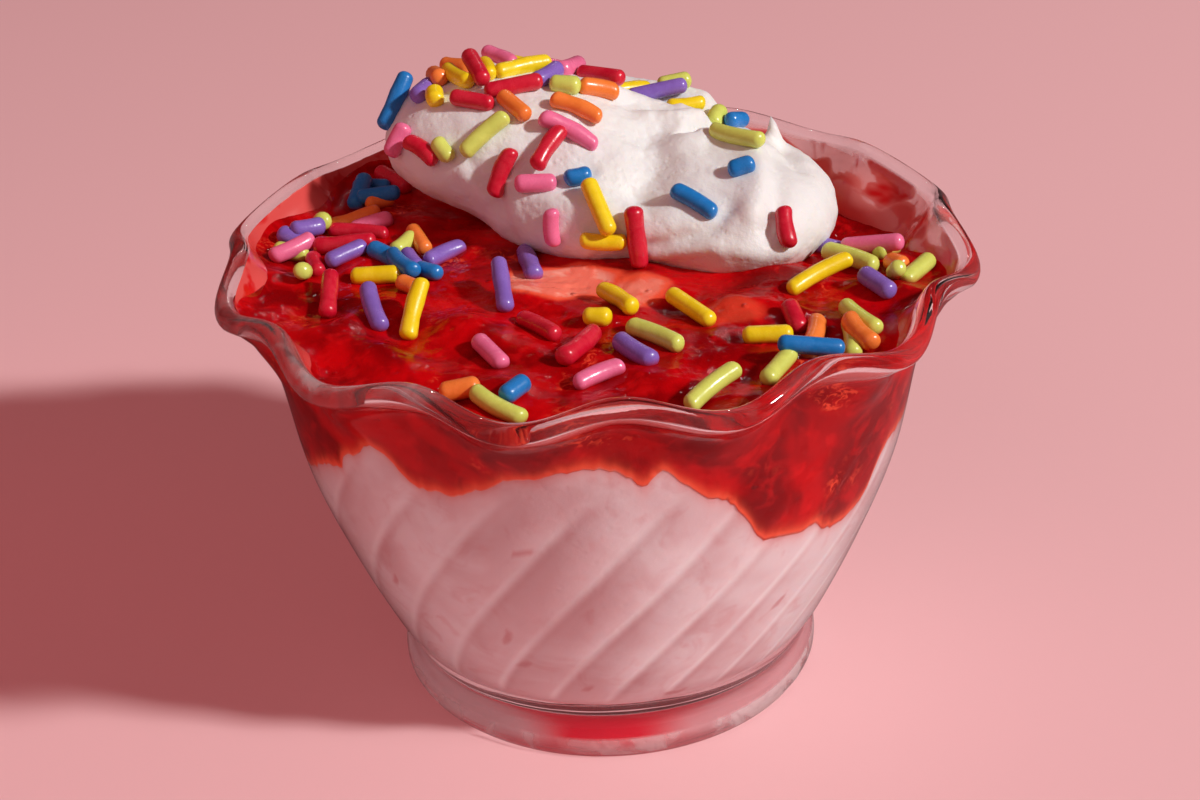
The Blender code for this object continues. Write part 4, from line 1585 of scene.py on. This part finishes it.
@dataclass
class Sprinkles:
    """The sugar strands on the sauce and the cream."""

    wall: DishWall
    sauce: Sauce
    sight: Sight
    radius: float = 0.95 * MM
    spread: float = 0.08
    cap: float = 0.8
    rings: int = 16
    waist_rings: int = 3
    lengths: tuple[float, float] = (4.6 * MM, 6.4 * MM)
    longest: float = 7.0 * MM
    sink: float = 0.35
    lift_step: float = 0.15 * MM
    lift_steps: int = 5
    clear_share: float = 1.6
    wall_room: float = 0.9 * MM
    back_count: int = 9
    back_patch: tuple[tuple[float, float], tuple[float, float]] = ((0, 27), (17, 7))
    back_apart: float = 4.5
    back_seed: int = 7
    back_draws: int = 400
    least_height: float = 2.5 * MM
    # On the sauce: across and back in mm, turn and lean in degrees, length in mm
    on_sauce: ClassVar[dict[Candy, Sequence[tuple[float, ...]]]] = {
        Candy.LIME: (
            (-32.5, 13, -90, 25, 4), (-36, 6.5, -10, 0, 4), (-31, -1.5, -90, 25, 3.5),
            (-21, 5.5, 60, 20, 4), (27, -2, 135, 10, 7), (24.5, -20, 85, 0, 6), (28, -18, 115, 0, 6.5),
            (18, -27.5, 55, 0, 5.5), (10.5, -30.5, 40, 15, 7), (34, -6, 50, 0, 5.5),
            (36.5, -0.5, 50, 0, 4), (27, 21, 130, 0, 4), (30.5, -8, -90, 25, 3), (5.5, -18.5, 135, 0, 7),
            (-9.5, -30.5, 140, 0, 6.5),
        ),
        Candy.YELLOW: (
            (-23, -1.5, -5, 0, 5.5), (-18, -12, 70, 30, 7), (2, -10.5, 120, 0, 6.5), (0, -14, -10, 0, 3),
            (9.5, -12.5, 125, 10, 7), (16.5, -19.5, -5, 0, 5), (23, -7, 30, 10, 8), (24, 27, -5, 0, 3.5),
        ),
        Candy.ORANGE: (
            (-27.5, 14.5, 10, 0, 6), (-24, 17, 30, 0, 3.5), (-19, 6.5, 110, 0, 5.5),
            (-19.5, -5, 140, 0, 3), (-13, -28, 0, 0, 4), (21, -18.5, 75, 0, 6), (26.5, -20.5, 110, 0, 5.5),
            (31.5, -4, 125, 0, 3),
        ),
        Candy.CRIMSON: (
            (-26, 10, -15, 0, 7), (-27, 6, -5, 0, 7), (-27.5, -6, 90, 10, 7), (-30, 2.5, 105, 0, 4.5),
            (-6, -14.5, 125, 0, 6.5), (-2, -20, 60, 5, 7), (19.5, -15, 100, 0, 4.5),
            (34.5, 3.5, -5, 0, 3.5), (-23.5, 24, 130, 0, 6),
        ),
        Candy.PINK: (
            (-24.5, 12, 5, 0, 5), (-34, 6, 35, 0, 5.5), (-10.5, -20, 120, 0, 5.5), (0, -25.5, 30, 0, 5.5),
            (32, -0.5, 155, 0, 7),
        ),
        Candy.PURPLE: (
            (-34.5, 9, 155, 0, 4), (-31.5, 9.5, 25, 0, 4), (-26.5, 3, 35, 0, 5), (-19.5, 1.5, 115, 0, 4),
            (-16, 3.5, 45, 0, 5.5), (-22.5, -10, 105, 5, 7), (-9.5, -7.5, 95, 20, 7), (-7, 0, 100, 0, 7),
            (3.5, -21.5, 125, 0, 6), (28.5, -10, 120, 0, 5), (25, 2.5, 140, 0, 4),
        ),
        Candy.BLUE: (
            (-22.5, 2.5, 140, 0, 4.5), (-20, -0.5, 120, 0, 6), (-17.5, -1.5, 140, 0, 3.5),
            (-8, -28.5, 50, 0, 3.5), (20, -24, 0, 0, 6.5), (24.5, 30, -5, 0, 4.5), (-27, 23.5, -5, 0, 4.5),
            (-26.5, 19, 80, 20, 5.5), (-24, 17, 0, 0, 5),
        ),
    }
    # On the cream, the lowest first, as the front shows them: across and up from the heart in mm,
    # turn in degrees and length in mm
    on_cream: ClassVar[Sequence[tuple[Candy, float, float, float, float]]] = (
        (Candy.PURPLE, -21, 9.5, 60, 3.5), (Candy.ORANGE, -17.5, 13, -15, 4),
        (Candy.ORANGE, -19.5, 11, -60, 3.5), (Candy.PINK, -7.5, 13, -20, 4),
        (Candy.YELLOW, -11, 13, -20, 4.5), (Candy.YELLOW, 2, 10, 5, 4.5), (Candy.LIME, 7, 10.5, 10, 4),
        (Candy.YELLOW, 8, 8, 5, 4.5), (Candy.PINK, -13, 13, -30, 4.5), (Candy.YELLOW, -17, 11, -45, 5),
        (Candy.YELLOW, -19.5, 8.5, -80, 2.5), (Candy.YELLOW, -14, 11.5, -70, 3.5),
        (Candy.CRIMSON, -15.5, 7.5, -15, 5), (Candy.CRIMSON, -11, 9, 10, 6.5),
        (Candy.YELLOW, -10, 11.5, 15, 7), (Candy.PURPLE, -7.5, 10.5, 35, 4), (Candy.PINK, -5, 12, 60, 5),
        (Candy.CRIMSON, -15, 11, -65, 5.5), (Candy.CRIMSON, -1.5, 10.5, -15, 5.5),
        (Candy.LIME, -5.5, 9, -10, 3.5), (Candy.ORANGE, -2, 8.5, -10, 4.5),
        (Candy.ORANGE, -4.5, 6, -25, 6), (Candy.ORANGE, -11, 6.5, -45, 4.5),
        (Candy.PINK, -5.5, 3.5, -30, 9.5), (Candy.LIME, -14, 3.5, 40, 6.5),
        (Candy.LIME, -18.5, 2.5, -55, 3), (Candy.PINK, -23.5, 4, 60, 4),
        (Candy.CRIMSON, -21, 2.5, -40, 4.5), (Candy.CRIMSON, -7.5, 1.5, 55, 5.5),
        (Candy.CRIMSON, -12, -0.5, 65, 5.5), (Candy.PINK, -9, -2, 0, 4.5), (Candy.BLUE, -4.5, -1.5, 10, 3),
        (Candy.PINK, -7, -6.5, 90, 4), (Candy.YELLOW, -2.5, -5, -70, 6.5), (Candy.YELLOW, -2, -8, -5, 5),
        (Candy.CRIMSON, 1.5, -8, -85, 6.5), (Candy.BLUE, 7.5, -5, -35, 5.5), (Candy.BLUE, 13, -1.5, 15, 3),
        (Candy.CRIMSON, 17, -8, -85, 4.5), (Candy.LIME, 11.5, 6, 60, 3), (Candy.BLUE, 13.5, 5.5, 10, 3),
        (Candy.LIME, 13, 2.5, -20, 7.5), (Candy.PURPLE, 5, 9, 10, 7), (Candy.BLUE, -24, 9, 65, 8),
    )

    def __post_init__(self) -> None:
        """Start with no strand laid."""
        self.lying: list[np.ndarray] = []

    def strand(self, length: float, bend: float, knobs: float) -> bmesh.types.BMesh:
        """One strand with round ends, along X.

        Args:
            length: Its length over all.
            bend: How far its middle bows out.
            knobs: Height of the swellings along it.

        Returns:
            Its mesh.
        """
        bm = bmesh.new()
        bmesh.ops.create_uvsphere(bm, u_segments=14, v_segments=self.rings, radius=self.radius)
        half = 0.5 * length - self.cap * self.radius
        waist = math.pi * self.waist_rings / self.rings
        for point in bm.verts:
            x, y, z = point.co
            height = math.asin(min(max(z / self.radius, -1.0), 1.0))
            beyond = max(abs(height) - waist, 0.0) / (0.5 * math.pi - waist) * 0.5 * math.pi
            reach = half * min(abs(height) / waist, 1.0) + self.cap * self.radius * math.sin(beyond)
            girth = max(math.cos(beyond), 0.0) ** 0.85 / max(math.cos(height), 1e-6)
            point.co = Vector((math.copysign(reach, z), x * girth, y * girth))
        bmesh.ops.recalc_face_normals(bm, faces=bm.faces)
        for point in bm.verts:
            x = point.co.x
            swell = 1.0 + knobs * math.sin(x / (0.55 * MM))
            point.co.y = point.co.y * swell + bend * (1.0 - (2 * x / length) ** 2)
            point.co.z *= swell
        return bm

    def lift_clear(self, middle: Vector, way: Vector, normal: Vector, length: float) -> Vector:
        """Lift a strand off those that already lie there.

        Args:
            middle: Its middle.
            way: Direction of its length.
            normal: Direction in which it lifts.
            length: Its length.

        Returns:
            Its middle, lifted until it rests on the others.
        """
        half = max(0.5 * length - self.radius, 0.0)
        steps = np.linspace(-half, half, 5)[:, None]
        for _ in range(self.lift_steps):
            spots = np.array(middle) + steps * np.array(way)
            if not self.lying:
                break
            others = np.concatenate(self.lying)
            gaps = np.linalg.norm(spots[:, None, :] - others[None, :, :], axis=2)
            if gaps.min() > self.clear_share * self.radius:
                break
            middle = middle + normal * self.lift_step
        self.lying.append(np.array(middle) + steps * np.array(way))
        return middle

    def lay(
        self, spot: tuple[Vector, Vector], heading: Vector, lean: float, length: float, index: int,
    ) -> bmesh.types.BMesh:
        """Lay a strand on a surface, sunk in a little.

        Args:
            spot: Place and normal of the surface.
            heading: Direction of its length.
            lean: How far its end tips up, in degrees.
            length: Its length.
            index: Its number, which varies its form.

        Returns:
            Its mesh, in place.
        """
        place, normal = spot
        draw = random.Random(1000 + index)
        bend = draw.choice((0.0, 0.0, 0.25, -0.3, 0.45)) * MM * min(length / (6 * MM), 1.0)
        knobs = draw.choice((0.0, 0.0, 0.0, 0.0, 0.015, 0.05))
        bm = self.strand(length, bend, knobs)
        thick = draw.uniform(1.0 - self.spread, 1.0 + self.spread)
        bmesh.ops.scale(bm, vec=(1.0, thick, thick), verts=bm.verts)
        along_x = (heading - normal * heading.dot(normal)).normalized()
        turn = Matrix((along_x, normal.cross(along_x), normal)).transposed().to_4x4()
        tip_up = Matrix.Rotation(-math.radians(lean), 4, "Y")
        height = self.radius * (1 - self.sink) + 0.3 * length * math.sin(math.radians(lean))
        way = (turn @ tip_up).to_3x3() @ Vector((1, 0, 0))
        middle = self.lift_clear(place + normal * height, way, normal, length)
        bm.transform(Matrix.Translation(middle) @ turn @ tip_up)
        return bm

    def length_of(self, index: int) -> float:
        """Length of a sprinkle on the cream's back, which differs from one to the next."""
        return mix(*self.lengths, (index * 0.618) % 1.0)

    def inside_wall(self, x: float, y: float, heading: Vector, length: float) -> Vector:
        """Pull a sprinkle's place in until its ends are clear of the glass.

        Args:
            x: Place across.
            y: Place back.
            heading: Direction of its length.
            length: Its length.

        Returns:
            The place, at height 0.
        """
        place = Vector((x, y, 0))
        outward = place.normalized()
        reach = self.radius + abs(heading.dot(outward)) * (0.5 * length - self.radius)
        limit = self.wall.inner_radius(angle_of(x, y), self.sauce.top(x, y)) - self.wall_room - reach
        return outward * min(place.length, limit)

    def back_spots(self, cream_tree: BVHTree) -> list[tuple[Vector, Vector, float]]:
        """Draw spots on the back of the cream, where the front doesn't show them.

        Args:
            cream_tree: The cream's surface.

        Returns:
            Each spot's place, its normal and the turn of its sprinkle.
        """
        draw = random.Random(self.back_seed)
        middle, half = self.back_patch
        spots: list[tuple[Vector, Vector, float]] = []
        for _ in range(self.back_draws):
            x = (middle[0] + draw.uniform(-1, 1) * half[0]) * MM
            y = (middle[1] + draw.uniform(-1, 1) * half[1]) * MM
            turn = draw.uniform(0, math.pi)
            hit, normal = cream_tree.ray_cast(Vector((x, y, 0.1)), DOWN)[:2]
            if hit is None or hit.z < self.sauce.level + self.least_height or len(spots) == self.back_count:
                continue
            hidden = cream_tree.ray_cast(hit + normal * 2.2 * self.radius, -self.sight.ahead)[0] is not None
            if hidden and all((hit - other).length > self.back_apart * MM for other, _, _ in spots):
                spots.append((hit, normal, turn))
        return spots

    def lay_all(self, sauce_tree: BVHTree, cream_tree: BVHTree) -> dict[Candy, list[bmesh.types.BMesh]]:
        """Lay every sprinkle.

        Args:
            sauce_tree: The sauce's surface.
            cream_tree: The cream's surface.

        Returns:
            The sprinkles' meshes by colour.
        """
        laid: dict[Candy, list[bmesh.types.BMesh]] = {candy: [] for candy in Candy}
        index = 0
        for candy, spots in self.on_sauce.items():
            for across, back, turn, lean, length in spots:
                a = math.radians(turn)
                heading = Vector((math.cos(a), math.sin(a), 0))
                place = self.inside_wall(across * MM, back * MM, heading, length * MM)
                hit, normal = sauce_tree.ray_cast(Vector((place.x, place.y, 0.1)), DOWN)[:2]
                laid[candy].append(self.lay((hit, normal), heading, lean, length * MM, index))
                index += 1
        for candy, across, up, turn, shown in self.on_cream:
            hit, normal = self.sight.nearest(cream_tree, across * MM, up * MM - self.radius * (1 - self.sink))
            heading = self.sight.flat_on(normal, turn)
            length = min(2 * self.radius + (shown * MM - 2 * self.radius) * heading.length, self.longest)
            laid[candy].append(self.lay((hit, normal), heading, 0, max(length, 2.6 * self.radius), index))
            index += 1
        for number, (hit, normal, turn) in enumerate(self.back_spots(cream_tree)):
            heading = Vector((math.cos(turn), math.sin(turn), 0))
            candy = list(Candy)[number % len(Candy)]
            laid[candy].append(self.lay((hit, normal), heading, 0, self.length_of(number), index))
            index += 1
        return laid

    def build(
        self, sauce_piece: bpy.types.Object, cream_piece: bpy.types.Object, effects: Effects
    ) -> list[bpy.types.Object]:
        """Make one piece for each colour.

        Args:
            sauce_piece: The sauce that they lie on.
            cream_piece: The cream that they lie on.
            effects: The shared effects.

        Returns:
            The pieces, with the mark wet near the sauce.
        """
        sauce_tree, cream_tree = search_tree(sauce_piece), search_tree(cream_piece)
        pieces = []
        for candy, meshes in self.lay_all(sauce_tree, cream_tree).items():
            joined = bmesh.new()
            for bm in meshes:
                one = bpy.data.meshes.new("strand")
                bm.to_mesh(one)
                bm.free()
                joined.from_mesh(one)
                bpy.data.meshes.remove(one)
            wet = []
            for point in joined.verts:
                over = point.co.z - self.sauce.top(point.co.x, point.co.y)
                wet.append(0.9 * (1.0 - smooth_step(-0.2 * MM, 0.7 * MM, over)))
            piece = new_piece("sprinkles_" + candy.name.lower(), joined, CandyFinish(candy).make(effects))
            write_marks(piece, "wet", wet)
            pieces.append(piece)
        return pieces


@dataclass
class Studio:
    """The floor, the lights and the camera."""

    target: Vector = Vector((-0.1, 0.0, 30.8)) * MM
    elevation: float = 29.1
    distance: float = 220 * MM
    roll: float = -2.43
    lens: float = 60.0
    room: float = 0.25
    room_gloss: float = 0.07

    def floor(self) -> bpy.types.Object:
        """Make the plain floor."""
        bm = bmesh.new()
        bmesh.ops.create_grid(bm, x_segments=1, y_segments=1, size=2.0)
        bmesh.ops.translate(bm, verts=bm.verts, vec=(0, 0, -0.05 * MM))
        return new_piece("floor", bm, FloorFinish().make())

    def lamp(
        self, name: str, place: Sequence[float], size: float, power: float, colour: Rgb
    ) -> bpy.types.Object:
        """Hang a square lamp that looks at the dish.

        Args:
            name: Its name.
            place: Where it hangs.
            size: The length of its side.
            power: Its power in watts.
            colour: Its colour.

        Returns:
            The lamp.
        """
        light = bpy.data.lights.new(name, "AREA")
        light.shape = "SQUARE"
        light.size = size
        light.energy = power
        light.color = colour
        lamp = bpy.data.objects.new(name, light)
        lamp.location = place
        lamp.rotation_euler = (self.target - Vector(place)).to_track_quat("-Z", "Y").to_euler()
        bpy.context.scene.collection.objects.link(lamp)
        return lamp

    def lights(self) -> None:
        """Hang the lamps and light the room."""
        self.lamp("key", (1.455, -0.66, 1.186), 0.15, 34.5, (1.0, 1.0, 0.985))
        fill = self.lamp("fill", (-0.35, -0.45, 0.45), 0.50, 0.50, (1.0, 0.74, 0.73))
        fill.visible_glossy = False
        glow = self.lamp("glow", (-0.115, 0.015, 0.085), 0.06, 0.009, (1.0, 0.10, 0.10))
        glow.visible_glossy = False
        glint = self.lamp("glint", (0.12, 1.0, 0.62), 0.03, 0.16, (1.0, 0.97, 0.95))
        glint.visible_diffuse = False
        glint.visible_transmission = False
        world = bpy.data.worlds.new("room")
        world.use_nodes = True
        tree = Tree(world.node_tree)
        back = world.node_tree.nodes["Background"]
        back.inputs["Color"].default_value = (1.0, 0.37, 0.38, 1.0)
        glossy = tree.add("LightPath").outputs["Is Glossy Ray"]
        strength = tree.maths("MULTIPLY_ADD", glossy, self.room_gloss - self.room, self.room)
        tree.feed(back.inputs["Strength"], strength)
        bpy.context.scene.world = world

    def camera(self) -> None:
        """Set the camera at the photograph's viewing angle."""
        e = math.radians(self.elevation)
        back = Vector((0.0, -math.cos(e), math.sin(e)))
        right = Vector((1.0, 0.0, 0.0))
        turn = Matrix((right, back.cross(right), back)).transposed().to_4x4()
        data = bpy.data.cameras.new("camera")
        data.lens = self.lens
        data.sensor_width = 36.0
        data.clip_start = 0.01
        camera = bpy.data.objects.new("camera", data)
        roll = Matrix.Rotation(math.radians(self.roll), 4, "Z")
        camera.matrix_world = Matrix.Translation(self.target + back * self.distance) @ turn @ roll
        bpy.context.scene.collection.objects.link(camera)
        bpy.context.scene.camera = camera

    def build(self) -> None:
        """Set up the studio."""
        self.floor()
        self.lights()
        self.camera()
        bpy.context.scene.view_settings.view_transform = "Standard"


def serve(piece: bpy.types.Object, nodes: Sequence[str]) -> None:
    """Say what a piece rides on and stands for.

    Args:
        piece: The piece.
        nodes: The CAD nodes that it stands for.
    """
    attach(piece, "root")
    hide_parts(*nodes)
    LOG.info("%s: %d faces", piece.name, len(piece.data.polygons))


def main() -> None:
    """Dress the sundae from the dish up."""
    logging.basicConfig(level=logging.INFO, format="%(message)s")
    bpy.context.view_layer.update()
    Studio().build()
    effects = Effects()
    wall = DishWall()
    sauce = Sauce(wall)
    sight = Sight(Vector((3, 15.5, 51.5)) * MM)
    dish = GlassDish(wall)
    serve(dish.build(GlassFinish().make(effects)), ["glass_dish"])
    # Grey sheets of painted sheen on the lip and round the foot
    for sheen in dish.build_sheen(SheenFinish().make(effects)):
        serve(sheen, ["glass_dish"])
    filling = IceCream(wall, sauce).build(IceCreamFinish().make(effects))
    serve(filling, ["ice_cream"])
    sauce_piece = sauce.build(SauceFinish().make(effects))
    serve(sauce_piece, ["strawberry_sauce"])
    smears = sauce.build_smears(SmearFinish().make(effects))
    serve(smears, ["strawberry_sauce"])
    cream_piece = WhippedCream(sauce, sight).build(CreamFinish().make(effects))
    serve(cream_piece, ["whipped_cream"])
    for piece in Sprinkles(wall, sauce, sight).build(sauce_piece, cream_piece, effects):
        serve(piece, ["strawberry_sauce", "whipped_cream"])


if __name__ == "__main__":
    main()
